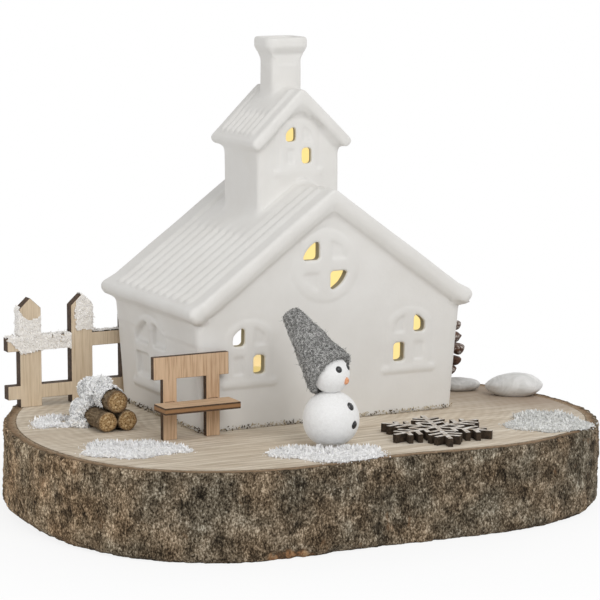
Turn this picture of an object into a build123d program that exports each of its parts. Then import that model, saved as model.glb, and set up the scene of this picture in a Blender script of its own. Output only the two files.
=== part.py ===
from build123d import *
import os
from math import atan, cos, radians, sin, sqrt, tan

# A white slip-cast light house with a small winter scene glued to a tree slice. Millimetres.
# Frame: underside of the slice at Z = 0, slice centred on the Z axis, gable facing -Y, +Z up.

# Tree slice: rim radii every 30 degrees anticlockwise from +X, about the pith
RIM_RADII = (99, 91, 88, 93, 107, 105, 102, 98, 82, 70, 84, 103)
SLICE_THICKNESS = 29.7
BARK_THICKNESS = 4.0

# House, placed by the foot of its gable; its own X runs from the gable's middle and its own Y back from it
HOUSE_X = 7.4
HOUSE_FRONT_Y = -21.4
HOUSE_WIDTH = 102.6
HOUSE_DEPTH = 72.0
WALL_HEIGHT = 39.5
WALL_FLARE = 2.0
WALL = 4.0
CORNER_RADIUS = 2.6

# Main roof and the cast ribs on it
ROOF_PITCH = 36.0
ROOF_THICKNESS = 4.5
EAVE_OVERHANG = 4.0
VERGE_OVERHANG = 3.2
RIB_HEIGHT = 0.9
RIB_WIDTH = 4.3
RIB_STEP = 5.8
RIB_FRONT_BAND = 7.0
RIB_BACK_BAND = 7.0
RIB_EAVE_BAND = 4.0
EAVE_ROUND = 0.42  # share of a roof's thickness
VERGE_ROUND = 0.25  # share of a roof's thickness

# Tower on the ridge
TOWER_X = -1.2
TOWER_SETBACK = 22.5
TOWER_WIDTH = 32.0
TOWER_DEPTH = 28.3
TOWER_WALL_HEIGHT = 94.7
TOWER_WALL = 2.6
TOWER_PITCH = 44.0
TOWER_ROOF_THICKNESS = 4.0
TOWER_EAVE_OVERHANG = 4.2
TOWER_VERGE_OVERHANG = 3.6
TOWER_RIB_WIDTH = 2.9
TOWER_RIB_STEP = 3.9
TOWER_RIB_FRONT_BAND = 5.0
TOWER_RIB_BACK_BAND = 3.0

# Chimney on the tower's ridge
CHIMNEY_WIDTH = 12.1
CHIMNEY_DEPTH = 11.0
CHIMNEY_TOP = 132.6
CHIMNEY_CAP_RIM = 2.2
CHIMNEY_CAP_HEIGHT = 5.0
CHIMNEY_CAP_FLARE = 2.4
CHIMNEY_DISH = 1.5

# Windows: raised frames with four panes each
FRAME_PROUD = 0.6
FRAME_BAR = 2.0
PANE_RECESS = 0.4
SILL_HEIGHT = 2.0
SILL_PROUD = 1.1
GABLE_WINDOW_X = 31.5
GABLE_WINDOW_FOOT = 17.0
GABLE_WINDOW_WIDTH = 16.5
GABLE_WINDOW_HEIGHT = 21.0
GABLE_WINDOW_RISE = 4.5
GABLE_MUNTIN = 3.4
ROUND_WINDOW_X = -2.4
ROUND_WINDOW_HEIGHT = 55.2
ROUND_WINDOW_RADIUS = 12.4
ROUND_WINDOW_BAR = 3.2
ROUND_MUNTIN = 4.2
TOWER_WINDOW_FOOT = 86.5
TOWER_WINDOW_WIDTH = 14.0
TOWER_WINDOW_HEIGHT = 17.5
TOWER_WINDOW_RISE = 3.5
TOWER_MUNTIN = 2.4
SIDE_WINDOW_Y = 40.0
SIDE_WINDOW_FOOT = 10.5
SIDE_WINDOW_WIDTH = 30.0
SIDE_WINDOW_HEIGHT = 25.0
SIDE_WINDOW_RISE = 7.0
SIDE_MUNTIN = 3.8
SIDE_PANE_RECESS = 1.3

# LED tea light and the archway in the back wall that it goes through
LIGHT_DIAMETER = 37.5
LIGHT_Y = 36.0
LIGHT_RIM_HEIGHT = 16.5
LIGHT_WALL = 1.3
LIGHT_DECK = 1.2
LIGHT_DISH = 1.5
LIGHT_SAG = (0.62, 0.2)  # shares of the radius and of the dish's depth half way up its slope
LIGHT_FIT = 0.15
ARCH_CLEARANCE = 2.5
ARCH_SPRING = 26.0
FLAME_RADIUS = 5.4
FLAME_NECK = 4.8
FLAME_HEIGHT = 21.0
FLAME_BULGE = 0.3  # share of the flame's height where it is fullest
FLAME_TAPER = (0.68, 0.55)  # shares of the flame's height and radius on its way to the tip
FLAME_FLANGE = 6.5
FLAME_FLANGE_THICKNESS = 1.0
LED_RADIUS = 2.5
LED_FLANGE = 2.9
LED_FLANGE_THICKNESS = 1.0
LED_HEIGHT = 8.0
LEAD = 0.5
LEAD_SPREAD = 1.27
BASE_LIFT = 0.4
BASE_THICKNESS = 1.6
DOOR_THICKNESS = 1.2
DOOR_LEDGE = 0.8
CELL_DIAMETER = 20.0
CELL_THICKNESS = 3.2
CELL_X = -5.5
CELL_CLEARANCE = 0.3
CONTACT_THICKNESS = 0.3
CONTACT_WIDTH = 4.0
SCREW_X = 9.3
SCREW_RADIUS = 0.85
SCREW_HEAD_RADIUS = 1.7
SCREW_HEAD = 0.7
SCREW_LENGTH = 4.5
SCREW_SLOT = (2.0, 0.5, 0.25)
BOSS_RADIUS = 2.4
SWITCH_X = 5.6
SWITCH_Y = -9.8
SWITCH_TRAVEL = 3.0
SWITCH_STEM = (3.2, 2.6)
SWITCH_FLANGE = (5.6, 4.6)
SWITCH_CLEARANCE = 0.2

# Picket fence, one cut panel close behind the house, its last picket under the roof's edge
FENCE_PLY = 4.2
FENCE_GAP = 0.5
FENCE_CORNER = 36.5  # from the house's left corner out to the first picket
PICKET_WIDTH = 8.2
PICKET_STEP = 19.8
PICKET_COUNT = 3
PICKET_HEIGHT = 39.6
PICKET_POINT = 3.8
RAIL_HEIGHT = 5.0
RAIL_END = 4.7
LOWER_RAIL = 3.0
UPPER_RAIL = 20.5
PICKET_CLUMP = (10.6, 3.0, 15.0)
RAIL_CLUMP = (12.6, 6.4, 7.6)
POINT_CLUMP = (7.0, 3.0, 13.0)
POINT_CLUMP_SIDE = 5.4  # from the picket's left edge
SHORT_RAIL_CLUMP = (10.0, 5.2, 3.0)
CLUMP_SINK = 0.35

# Bench: a cut back panel with two legs, and a seat held by tenons
BENCH_PLY = 2.4
BENCH_GAP = 0.5
BENCH_CORNER = 3.6  # from the house's left corner out to the bench's middle
BENCH_WIDTH = 27.9
BENCH_HEIGHT = 28.6
BENCH_BOARD = 7.7
BENCH_LEG = 5.1
BENCH_LEG_STEP = 16.0
SEAT_HEIGHT = 13.0
SEAT_DEPTH = 9.5
TENON = 3.0
TENON_FIT = 0.1

# Stack of three cut twigs beside the left wall
LOG_GAP = 14.7
LOG_FRONT = 17.5
LOG_LENGTH = 26.5
LOG_RADIUS = 3.6
TOP_LOG_RADIUS = 4.0
LOG_FIT = 0.1
LOG_HEAP_BACK = 17.0  # from the front of the logs
LOG_HEAP_LUMPS = (  # each lump's middle from the top log's axis and the ground, and its size
    ((0.5, 0.0, 11.4), (15.0, 13.0, 10.5)),
    ((-5.5, 1.0, 6.0), (9.0, 13.0, 14.0)),
    ((-7.5, 1.0, 0.0), (9.0, 15.0, 9.0)),
    ((5.5, 0.0, 9.0), (9.0, 12.0, 10.0)),
)

# Snowman of two balls with a felt hat
SNOWMAN_AT = (-18.7, -35.2)
SNOWMAN_FACE = -62.0
BODY_RADIUS = 9.6
HEAD_RADIUS = 6.3
BALL_FLAT = 0.5
HEAD_SINK = 0.9
HAT_LENGTH = 26.5
HAT_BRIM = 9.2
HAT_TIP = 3.5
HAT_FIT = 0.15
HAT_CROWN = 3.0
HAT_LEAN = 45.0
HAT_BEARING = 109.0
BRIM_LEAN = 56.0
BRIM_BEARING = 111.0
HAT_SKIRT = 3.5
EYE_RADIUS = 1.4
EYE_SPREAD = 28.0
EYE_RISE = 25.0
BUTTON_RADIUS = 1.95
BUTTON_RISES = (33.0, -6.0)
BEAD_PROUD = 0.45
NOSE = (2.5, 1.6, 1.9)  # tall, wide and deep
NOSE_RISE = -14.0

# Wooden snowflake lying flat
FLAKE_AT = (21.0, -37.0)
FLAKE_RADIUS = 19.5
FLAKE_PLY = 3.0
FLAKE_BAR = 1.7
FLAKE_TURN = 14.0
FLAKE_BRANCHES = ((5.5, 5.5), (9.5, 6.5), (13.5, 5.0))

# Pine cone standing beside the right wall
CONE_GAP = 6.6
CONE_Y = 46.5
CONE_RADIUS = 11.0
CONE_HEIGHT = 33.0
CONE_CORE = 0.42  # share of the outline
CONE_FULLEST = 0.55  # share of the height
CONE_TAPER = 0.72  # share of the height from the fullest ring to nothing
CONE_ROWS = 6
CONE_SCALES = 8
SCALE_WIDTH = 5.4
SCALE_THICKNESS = 1.7

# Stones and scattered snow
PEBBLE_AT = (82.5, 12.0)
PEBBLE = (22.5, 12.5, 9.8)
PEBBLE_TURN = -27.0
SMALL_PEBBLE_AT = (69.5, 29.5)
SMALL_PEBBLE = (17.0, 9.0, 5.6)
SMALL_PEBBLE_TURN = -27.0
STONE_FLAT = 0.12
SNOW_THICKNESS = 1.4
SNOW_CLEARANCE = 0.3
SNOW_WAVES = ((3, 0.10), (5, 0.07))  # waves round a drift's edge and their share of its radius
SNOW_POINTS = 16
SNOW_PATCHES = {
    "snow_patch_front_left": ((-81.6, -12.6), (17.4, 12.0), -27.0, 0.4),
    "snow_patch_front": ((-26.2, -47.7), (19.2, 10.6), -27.0, 1.9),
    "snow_patch_right": ((65.2, -37.4), (13.8, 16.2), -27.0, 3.1),
    "snow_patch_logs": ((-86.9, 40.5), (8.8, 9.2), -27.0, 5.0),
}

FOOT = Pos(HOUSE_X, HOUSE_FRONT_Y, SLICE_THICKNESS)
STANDING = (Align.CENTER, Align.CENTER, Align.MIN)
HANGING = (Align.CENTER, Align.CENTER, Align.MAX)


def ground(x, y):
    """A place on the sawn face, given in the house's own X and Y."""
    return FOOT * Pos(x, y, 0)


def along_y(sketch, y0, y1):
    """A profile drawn in X and Z, extruded between two Y positions."""
    return extrude(Plane.XZ.offset(-y1) * sketch, y1 - y0)


def polygon(*points):
    return make_face(Polyline(*points, close=True))


def ellipsoid(length, width, height):
    return scale(Sphere(0.5), by=(length, width, height))


# Tree slice

def rim_face(inset):
    step = 360 / len(RIM_RADII)
    points = [
        ((r - inset) * cos(radians(i * step)), (r - inset) * sin(radians(i * step)))
        for i, r in enumerate(RIM_RADII)
    ]
    return make_face(Spline(*points, periodic=True))


def tree_slice():
    middle = rim_face(0).bounding_box().center()
    centred = Pos(-middle.X, -middle.Y, 0)
    wood = extrude(centred * rim_face(BARK_THICKNESS), SLICE_THICKNESS)
    bark = extrude(centred * rim_face(0), SLICE_THICKNESS) - wood
    return {"wood_slice": wood, "bark_rim": bark}


# Cast house

def wall_block(inset, low, high):
    """Rounded block that widens evenly from its foot to the top of the walls."""
    rings = []
    for z in (low, high):
        shrink = 2 * (inset + WALL_FLARE * (1 - z / WALL_HEIGHT))
        ring = RectangleRounded(HOUSE_WIDTH - shrink, HOUSE_DEPTH - shrink, CORNER_RADIUS)
        rings.append(Pos(0, HOUSE_DEPTH / 2, z) * ring)
    return loft(rings)


def gable_face(width, wall_height, pitch, inset, low):
    """Outline under a pitched roof, from a low line up to the roof's underside."""
    half = width / 2 - inset
    shoulder = wall_height + inset * tan(radians(pitch))
    peak = wall_height + width / 2 * tan(radians(pitch))
    right = [(half, z) for z in sorted({low, shoulder})]
    left = [(-x, z) for x, z in reversed(right)]
    return polygon(*right, (0, peak), *left)


def roof_peak(width, wall_height, pitch, thickness):
    return wall_height + width / 2 * tan(radians(pitch)) + thickness / cos(radians(pitch))


def roof_slab(width, wall_height, pitch, thickness, eave, y0, y1):
    """Two slopes of even thickness with rounded eaves and verges."""
    p = radians(pitch)
    peak = roof_peak(width, wall_height, pitch, thickness)
    half = width / 2 + eave
    tip = peak - half * tan(p)
    inner = (half - thickness * sin(p), tip - thickness * cos(p))
    profile = polygon(
        (half, tip), (0, peak), (-half, tip), (-inner[0], inner[1]), (0, peak - thickness / cos(p)), inner
    )
    eave_corners = [v for v in profile.vertices() if abs(v.X) > width / 4]
    profile = fillet(eave_corners, EAVE_ROUND * thickness)
    profile = fillet(profile.vertices().sort_by(Axis.Y)[-1], thickness / 2)
    slab = along_y(profile, y0, y1)
    ends = slab.faces().filter_by(Axis.Y)
    return fillet([e for f in ends for e in f.edges()], VERGE_ROUND * thickness)


def rib(width, length):
    """Rounded strip lying along +X on the XY plane."""
    sunk = RIB_HEIGHT / 2
    section = make_face([
        ThreePointArc((-width / 2, 0), (0, RIB_HEIGHT), (width / 2, 0)),
        Polyline((width / 2, 0), (width / 2, -sunk), (-width / 2, -sunk), (-width / 2, 0)),
    ])
    return extrude(Plane.YZ * section, length)


def roof_ribs(width, wall_height, pitch, thickness, eave, y0, y1, step, rib_width):
    """As many ribs as fit on both slopes between two Y positions."""
    p = radians(pitch)
    first_y = y0 + rib_width / 2
    count = int((y1 - y0 - rib_width) / step) + 1
    peak = roof_peak(width, wall_height, pitch, thickness)
    run = (width / 2 + eave) / cos(p) - RIB_EAVE_BAND
    start = thickness / 2
    strips = []
    for side in (1, -1):
        for i in range(count):
            slope = Plane(
                origin=(0, first_y + i * step, peak),
                x_dir=(side * cos(p), 0, -sin(p)),
                z_dir=(side * sin(p), 0, cos(p)),
            )
            strips.append(slope * Pos(start, 0, 0) * rib(rib_width, run - start))
    return strips


def arch_face(width, height, rise):
    half = width / 2
    spring = height - rise
    return make_face([
        Polyline((-half, spring), (-half, 0), (half, 0), (half, spring)),
        ThreePointArc((half, spring), (0, height), (-half, spring)),
    ])


def pane_faces(opening, centre, muntin):
    """Four panes left between the glazing bars, keyed by their corner."""
    reach = 4 * opening.bounding_box().diagonal
    bars = Pos(0, centre) * (Rectangle(muntin, reach) + Rectangle(reach, muntin))
    panes = {}
    for face in (opening - bars).faces():
        middle = face.center()
        key = ("upper" if middle.Y > centre else "lower") + (" left" if middle.X < 0 else " right")
        panes[key] = face
    return panes


def window(outer, panes, plane, pierced, recess, sill_width=0):
    """What a window adds to a wall and what it takes away, drawn on the wall's outer plane."""
    added = [plane * Pos(0, 0, -WALL / 2) * extrude(outer, WALL / 2 + FRAME_PROUD)]
    if sill_width:
        sill = Box(
            sill_width, SILL_HEIGHT, WALL / 2 + SILL_PROUD, align=(Align.CENTER, Align.MAX, Align.MIN))
        added.append(plane * Pos(0, 0, -WALL / 2) * sill)
    taken = []
    for key, face in panes.items():
        depth = 3 * WALL if key in pierced else recess
        taken.append(plane * Pos(0, 0, -depth) * extrude(face, depth + 2 * FRAME_PROUD))
    return added, taken


def arched_window(width, height, rise, muntin, plane, pierced, recess=PANE_RECESS):
    outer = arch_face(width, height, rise)
    inner_rise = rise * (width - 2 * FRAME_BAR) / width
    opening = Pos(0, FRAME_BAR) * arch_face(width - 2 * FRAME_BAR, height - 2 * FRAME_BAR, inner_rise)
    panes = pane_faces(opening, height / 2, muntin)
    return window(outer, panes, plane, pierced, recess, width + 2 * FRAME_BAR)


def round_window(radius, bar, muntin, plane, pierced):
    panes = pane_faces(Circle(radius - bar), 0, muntin)
    return window(Circle(radius), panes, plane, pierced, PANE_RECESS)


def house_windows():
    lean = atan(WALL_FLARE / WALL_HEIGHT)
    gable_inset = WALL_FLARE * (1 - GABLE_WINDOW_FOOT / WALL_HEIGHT)
    side_inset = WALL_FLARE * (1 - SIDE_WINDOW_FOOT / WALL_HEIGHT)
    sets = []
    for side, pierced in ((-1, ("upper left", "lower right")), (1, ("upper right", "lower left"))):
        front = Plane(
            origin=(side * GABLE_WINDOW_X, gable_inset, GABLE_WINDOW_FOOT),
            x_dir=(1, 0, 0), z_dir=(0, -cos(lean), -sin(lean)),
        )
        sets.append(arched_window(
            GABLE_WINDOW_WIDTH, GABLE_WINDOW_HEIGHT, GABLE_WINDOW_RISE, GABLE_MUNTIN, front, pierced))
        flank = Plane(
            origin=(side * (HOUSE_WIDTH / 2 - side_inset), SIDE_WINDOW_Y, SIDE_WINDOW_FOOT),
            x_dir=(0, side, 0), z_dir=(side * cos(lean), 0, -sin(lean)),
        )
        sets.append(arched_window(
            SIDE_WINDOW_WIDTH, SIDE_WINDOW_HEIGHT, SIDE_WINDOW_RISE, SIDE_MUNTIN, flank, (),
            SIDE_PANE_RECESS))
    gable = Plane(origin=(ROUND_WINDOW_X, 0, ROUND_WINDOW_HEIGHT), x_dir=(1, 0, 0), z_dir=(0, -1, 0))
    sets.append(round_window(
        ROUND_WINDOW_RADIUS, ROUND_WINDOW_BAR, ROUND_MUNTIN, gable, ("upper left", "lower right")))
    tower = Plane(origin=(TOWER_X, TOWER_SETBACK, TOWER_WINDOW_FOOT), x_dir=(1, 0, 0), z_dir=(0, -1, 0))
    sets.append(arched_window(
        TOWER_WINDOW_WIDTH, TOWER_WINDOW_HEIGHT, TOWER_WINDOW_RISE, TOWER_MUNTIN, tower,
        ("upper left", "lower right")))
    added = [part for pair in sets for part in pair[0]]
    taken = [part for pair in sets for part in pair[1]]
    return added, taken


def chimney(foot):
    """Square flue with a flared, slightly dished cap."""
    shaft_top = CHIMNEY_TOP - CHIMNEY_CAP_HEIGHT - CHIMNEY_CAP_FLARE
    flare_top = CHIMNEY_TOP - CHIMNEY_CAP_HEIGHT
    rim = 2 * CHIMNEY_CAP_RIM
    corner = CHIMNEY_WIDTH / 6
    shaft = RectangleRounded(CHIMNEY_WIDTH, CHIMNEY_DEPTH, corner)
    cap = RectangleRounded(CHIMNEY_WIDTH + rim, CHIMNEY_DEPTH + rim, corner + CHIMNEY_CAP_RIM)
    stack = extrude(Pos(0, 0, foot) * shaft, shaft_top - foot)
    stack += loft([Pos(0, 0, shaft_top) * shaft, Pos(0, 0, flare_top) * cap])
    top = extrude(Pos(0, 0, flare_top) * cap, CHIMNEY_CAP_HEIGHT)
    stack += fillet(top.faces().sort_by(Axis.Z)[-1].edges(), CHIMNEY_CAP_RIM / 2)
    return stack - extrude(Pos(0, 0, CHIMNEY_TOP - CHIMNEY_DISH) * shaft, 2 * CHIMNEY_DISH)


def ceramic_house():
    tower_y0 = TOWER_SETBACK
    tower_y1 = TOWER_SETBACK + TOWER_DEPTH
    tower_at = Pos(TOWER_X, 0, 0)
    main_run = (HOUSE_WIDTH, WALL_HEIGHT, ROOF_PITCH, ROOF_THICKNESS, EAVE_OVERHANG)
    tower_run = (TOWER_WIDTH, TOWER_WALL_HEIGHT, TOWER_PITCH, TOWER_ROOF_THICKNESS, TOWER_EAVE_OVERHANG)
    main_peak = roof_peak(*main_run[:4])
    tower_peak = roof_peak(*tower_run[:4])
    tower_reach = TOWER_WIDTH / 2 + abs(TOWER_X)
    tower_foot = main_peak - tower_reach * tan(radians(ROOF_PITCH)) - ROOF_THICKNESS / 2
    chimney_foot = tower_peak - CHIMNEY_WIDTH / 2 * tan(radians(TOWER_PITCH)) - TOWER_ROOF_THICKNESS / 2

    shell = wall_block(0, 0, WALL_HEIGHT)
    shell += along_y(gable_face(HOUSE_WIDTH, WALL_HEIGHT, ROOF_PITCH, 0, WALL_HEIGHT), 0, HOUSE_DEPTH)
    roof = roof_slab(*main_run, -VERGE_OVERHANG, HOUSE_DEPTH + VERGE_OVERHANG)
    rib_y0 = RIB_FRONT_BAND - VERGE_OVERHANG
    rib_y1 = HOUSE_DEPTH + VERGE_OVERHANG - RIB_BACK_BAND
    roof += roof_ribs(*main_run, rib_y0, rib_y1, RIB_STEP, RIB_WIDTH)

    tower_gable = gable_face(TOWER_WIDTH, TOWER_WALL_HEIGHT, TOWER_PITCH, 0, tower_foot)
    tower = along_y(tower_gable, tower_y0, tower_y1)
    tower = fillet(tower.edges().filter_by(Axis.Z), CORNER_RADIUS / 2)
    tower_roof = roof_slab(*tower_run, tower_y0 - TOWER_VERGE_OVERHANG, tower_y1 + TOWER_VERGE_OVERHANG)
    rib_y0 = tower_y0 - TOWER_VERGE_OVERHANG + TOWER_RIB_FRONT_BAND
    rib_y1 = tower_y1 + TOWER_VERGE_OVERHANG - TOWER_RIB_BACK_BAND
    tower_roof += roof_ribs(*tower_run, rib_y0, rib_y1, TOWER_RIB_STEP, TOWER_RIB_WIDTH)
    flue = Pos(0, (tower_y0 + tower_y1) / 2, 0) * chimney(chimney_foot)

    added, taken = house_windows()
    house = shell + roof + tower_at * tower + tower_at * tower_roof + tower_at * flue + added

    room = wall_block(WALL, -WALL, WALL_HEIGHT)
    attic = along_y(
        gable_face(HOUSE_WIDTH, WALL_HEIGHT, ROOF_PITCH, WALL, WALL_HEIGHT), WALL, HOUSE_DEPTH - WALL)
    loft_room = tower_at * along_y(
        gable_face(TOWER_WIDTH, TOWER_WALL_HEIGHT, TOWER_PITCH, TOWER_WALL, WALL_HEIGHT),
        tower_y0 + TOWER_WALL, tower_y1 - TOWER_WALL)
    arch_width = LIGHT_DIAMETER + 2 * ARCH_CLEARANCE
    archway = Pos(0, 0, -WALL) * along_y(
        arch_face(arch_width, ARCH_SPRING + arch_width / 2 + WALL, arch_width / 2),
        HOUSE_DEPTH - 2 * WALL, HOUSE_DEPTH + WALL)
    house = house - room - attic - loft_room - archway - taken
    return {"ceramic_house": FOOT * house}


# LED tea light

def tea_light_body():
    """Cup, bottom plate and flame lens, standing on Z = 0."""
    outer = LIGHT_DIAMETER / 2
    inner = outer - LIGHT_WALL
    deck_top = LIGHT_RIM_HEIGHT - LIGHT_DISH
    deck = deck_top - LIGHT_DECK
    profile = make_face([
        Polyline(
            (inner, 0), (outer, 0), (outer, LIGHT_RIM_HEIGHT), (outer - LIGHT_WALL, LIGHT_RIM_HEIGHT)),
        ThreePointArc(
            (outer - LIGHT_WALL, LIGHT_RIM_HEIGHT),
            (outer * LIGHT_SAG[0], deck_top + LIGHT_DISH * LIGHT_SAG[1]),
            (FLAME_FLANGE, deck_top)),
        Polyline(
            (FLAME_FLANGE, deck_top), (FLAME_NECK + LIGHT_FIT, deck_top), (FLAME_NECK + LIGHT_FIT, deck),
            (inner, deck), (inner, 0)),
    ])
    cup = revolve(Plane.XZ * profile, Axis.Z)

    flange_foot = deck - FLAME_FLANGE_THICKNESS
    tip = deck_top + FLAME_HEIGHT
    bulge = deck_top + FLAME_HEIGHT * FLAME_BULGE
    taper_z = deck_top + FLAME_HEIGHT * FLAME_TAPER[0]
    taper = FLAME_RADIUS * FLAME_TAPER[1]
    bore = LED_FLANGE + LIGHT_FIT
    flame = make_face([
        Polyline(
            (bore, flange_foot), (FLAME_FLANGE, flange_foot), (FLAME_FLANGE, deck), (FLAME_NECK, deck),
            (FLAME_NECK, deck_top)),
        Spline(
            (FLAME_NECK, deck_top), (FLAME_RADIUS, bulge), (taper, taper_z), (0, tip)),
        Polyline((0, tip), (0, flange_foot + LED_HEIGHT + LED_RADIUS)),
        Line((0, flange_foot + LED_HEIGHT + LED_RADIUS), (bore, flange_foot + LED_HEIGHT)),
        Line((bore, flange_foot + LED_HEIGHT), (bore, flange_foot)),
    ])
    lens = revolve(Plane.XZ * flame, Axis.Z)
    return cup, lens, flange_foot


def door_outline(grow):
    """Round battery door with a tab for its screw."""
    cover = Pos(CELL_X, 0) * Circle(CELL_DIAMETER / 2 + CELL_CLEARANCE + DOOR_LEDGE + grow)
    tab_end = SCREW_X + BOSS_RADIUS + grow
    tab_width = 2 * (BOSS_RADIUS + grow)
    tab = Pos((CELL_X + tab_end) / 2, 0) * Rectangle(tab_end - CELL_X, tab_width)
    return cover + tab


def tea_light():
    inner = LIGHT_DIAMETER / 2 - LIGHT_WALL
    cup, lens, flange_foot = tea_light_body()
    base_top = BASE_LIFT + BASE_THICKNESS
    door_top = BASE_LIFT + DOOR_THICKNESS
    cell_top = door_top + CELL_THICKNESS
    slot = (
        SWITCH_STEM[0] + SWITCH_TRAVEL + 2 * SWITCH_CLEARANCE,
        SWITCH_STEM[1] + 2 * SWITCH_CLEARANCE,
    )
    screw_at = Pos(SCREW_X, 0, 0)
    switch_at = Pos(SWITCH_X, SWITCH_Y, 0)
    cell_at = Pos(CELL_X, 0, 0)

    base = Pos(0, 0, BASE_LIFT) * Cylinder(inner - LIGHT_FIT, BASE_THICKNESS, align=STANDING)
    screw_top = BASE_LIFT + SCREW_LENGTH
    boss_height = screw_top + SCREW_RADIUS - base_top
    base += screw_at * Pos(0, 0, base_top) * Cylinder(
        BOSS_RADIUS, boss_height, align=STANDING)
    base -= Pos(0, 0, BASE_LIFT) * extrude(door_outline(LIGHT_FIT), DOOR_THICKNESS)
    base -= cell_at * Cylinder(CELL_DIAMETER / 2 + CELL_CLEARANCE, 2 * base_top)
    base -= switch_at * Pos(SWITCH_TRAVEL / 2, 0, 0) * Box(slot[0], slot[1], 4 * base_top)
    base -= screw_at * Cylinder(SCREW_RADIUS, 2 * screw_top)

    door = Pos(0, 0, BASE_LIFT) * extrude(door_outline(0), DOOR_THICKNESS)
    door -= screw_at * Cylinder(SCREW_RADIUS, 4 * base_top)
    door -= screw_at * Cylinder(SCREW_HEAD_RADIUS + LIGHT_FIT, 2 * (BASE_LIFT + SCREW_HEAD))
    screw = screw_at * Pos(0, 0, BASE_LIFT) * (
        Cylinder(SCREW_HEAD_RADIUS, SCREW_HEAD, align=STANDING)
        + Cylinder(SCREW_RADIUS, SCREW_LENGTH, align=STANDING))
    for turn in (0, 90):
        screw -= screw_at * Rot(0, 0, turn) * Box(*SCREW_SLOT[:2], 2 * (BASE_LIFT + SCREW_SLOT[2]))

    cell = cell_at * Pos(0, 0, door_top) * Cylinder(
        CELL_DIAMETER / 2, CELL_THICKNESS, align=STANDING)
    upper_contact = Pos(CELL_X, 0, cell_top) * Box(
        -CELL_X, CONTACT_WIDTH, CONTACT_THICKNESS, align=(Align.MIN, Align.CENTER, Align.MIN))
    side_y = CELL_DIAMETER / 2 + CELL_CLEARANCE
    side_contact = Pos(CELL_X, side_y, base_top) * Box(
        CONTACT_WIDTH, CONTACT_THICKNESS, CELL_THICKNESS + CONTACT_WIDTH,
        align=(Align.CENTER, Align.MIN, Align.MIN))
    side_top = base_top + CELL_THICKNESS + CONTACT_WIDTH

    led = Pos(0, 0, flange_foot) * (
        Cylinder(LED_FLANGE, LED_FLANGE_THICKNESS, align=STANDING)
        + Cylinder(LED_RADIUS, LED_HEIGHT - LED_RADIUS, align=STANDING)
        + Pos(0, 0, LED_HEIGHT - LED_RADIUS) * Sphere(LED_RADIUS))
    contact_top = cell_top + CONTACT_THICKNESS
    led += Pos(-LEAD_SPREAD, 0, contact_top) * Box(
        LEAD, LEAD, flange_foot - contact_top, align=STANDING)
    led += Pos(LEAD_SPREAD, 0, side_top) * Box(
        LEAD, LEAD, flange_foot - side_top, align=STANDING)
    led += Pos(LEAD_SPREAD + LEAD / 2, -LEAD / 2, side_top) * Box(
        LEAD, side_y + CONTACT_THICKNESS + LEAD / 2, LEAD, align=(Align.MAX, Align.MIN, Align.MIN))
    led += Pos(LEAD_SPREAD + LEAD / 2, side_y - LEAD / 2, side_top) * Box(
        LEAD_SPREAD + LEAD / 2 - CELL_X, LEAD + CONTACT_THICKNESS, LEAD,
        align=(Align.MAX, Align.MIN, Align.MIN))

    knob_foot = BASE_LIFT + SWITCH_CLEARANCE
    knob_top = base_top + SWITCH_CLEARANCE
    knob = switch_at * Pos(0, 0, knob_foot) * Box(
        *SWITCH_STEM, knob_top - knob_foot, align=STANDING)
    knob += switch_at * Pos(0, 0, knob_top) * Box(
        *SWITCH_FLANGE, BASE_THICKNESS, align=STANDING)

    nodes = {
        "tealight_cup": cup,
        "tealight_base": base,
        "tealight_flame": lens,
        "tealight_led": led,
        "coin_cell": cell,
        "cell_contact_upper": upper_contact,
        "cell_contact_side": side_contact,
        "battery_door": door,
        "battery_door_screw": screw,
        "tealight_switch": knob,
    }
    return {name: ground(0, LIGHT_Y) * part for name, part in nodes.items()}


# Fence

def picket_fence():
    """One flat panel, drawn in X and Z from the left edge of its first picket."""
    span = (PICKET_COUNT - 1) * PICKET_STEP + PICKET_WIDTH
    shoulder = PICKET_HEIGHT - PICKET_POINT
    picket = polygon(
        (0, 0), (PICKET_WIDTH, 0), (PICKET_WIDTH, shoulder), (PICKET_WIDTH / 2, PICKET_HEIGHT),
        (0, shoulder))
    panel = Sketch() + [Pos(i * PICKET_STEP, 0) * picket for i in range(PICKET_COUNT)]
    for foot in (LOWER_RAIL, UPPER_RAIL):
        rail = Rectangle(span + 2 * RAIL_END, RAIL_HEIGHT, align=(Align.MIN, Align.MIN))
        panel += Pos(-RAIL_END, foot) * rail
    front = HOUSE_DEPTH + FENCE_GAP
    fence = along_y(panel, 0, FENCE_PLY)
    rail_top = UPPER_RAIL + RAIL_HEIGHT
    middle = FENCE_PLY / 2
    first_gap = (PICKET_WIDTH + PICKET_STEP) / 2
    clumps = (
        ((PICKET_WIDTH / 2, CLUMP_SINK, rail_top + CLUMP_SINK), PICKET_CLUMP),
        ((first_gap, middle, rail_top - RAIL_HEIGHT / 3), RAIL_CLUMP),
        ((PICKET_STEP + POINT_CLUMP_SIDE, CLUMP_SINK, shoulder - CLUMP_SINK), POINT_CLUMP),
        ((first_gap + PICKET_STEP, middle, rail_top - CLUMP_SINK), SHORT_RAIL_CLUMP),
    )
    snow = Part()
    for place, size in clumps:
        snow += Pos(*place) * ellipsoid(*size)
    snow -= fence
    snow -= along_y(panel, FENCE_PLY, 2 * FENCE_PLY)
    at = ground(-HOUSE_WIDTH / 2 - FENCE_CORNER, front)
    return {"picket_fence": at * fence, "fence_snow": at * snow}


# Bench

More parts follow.
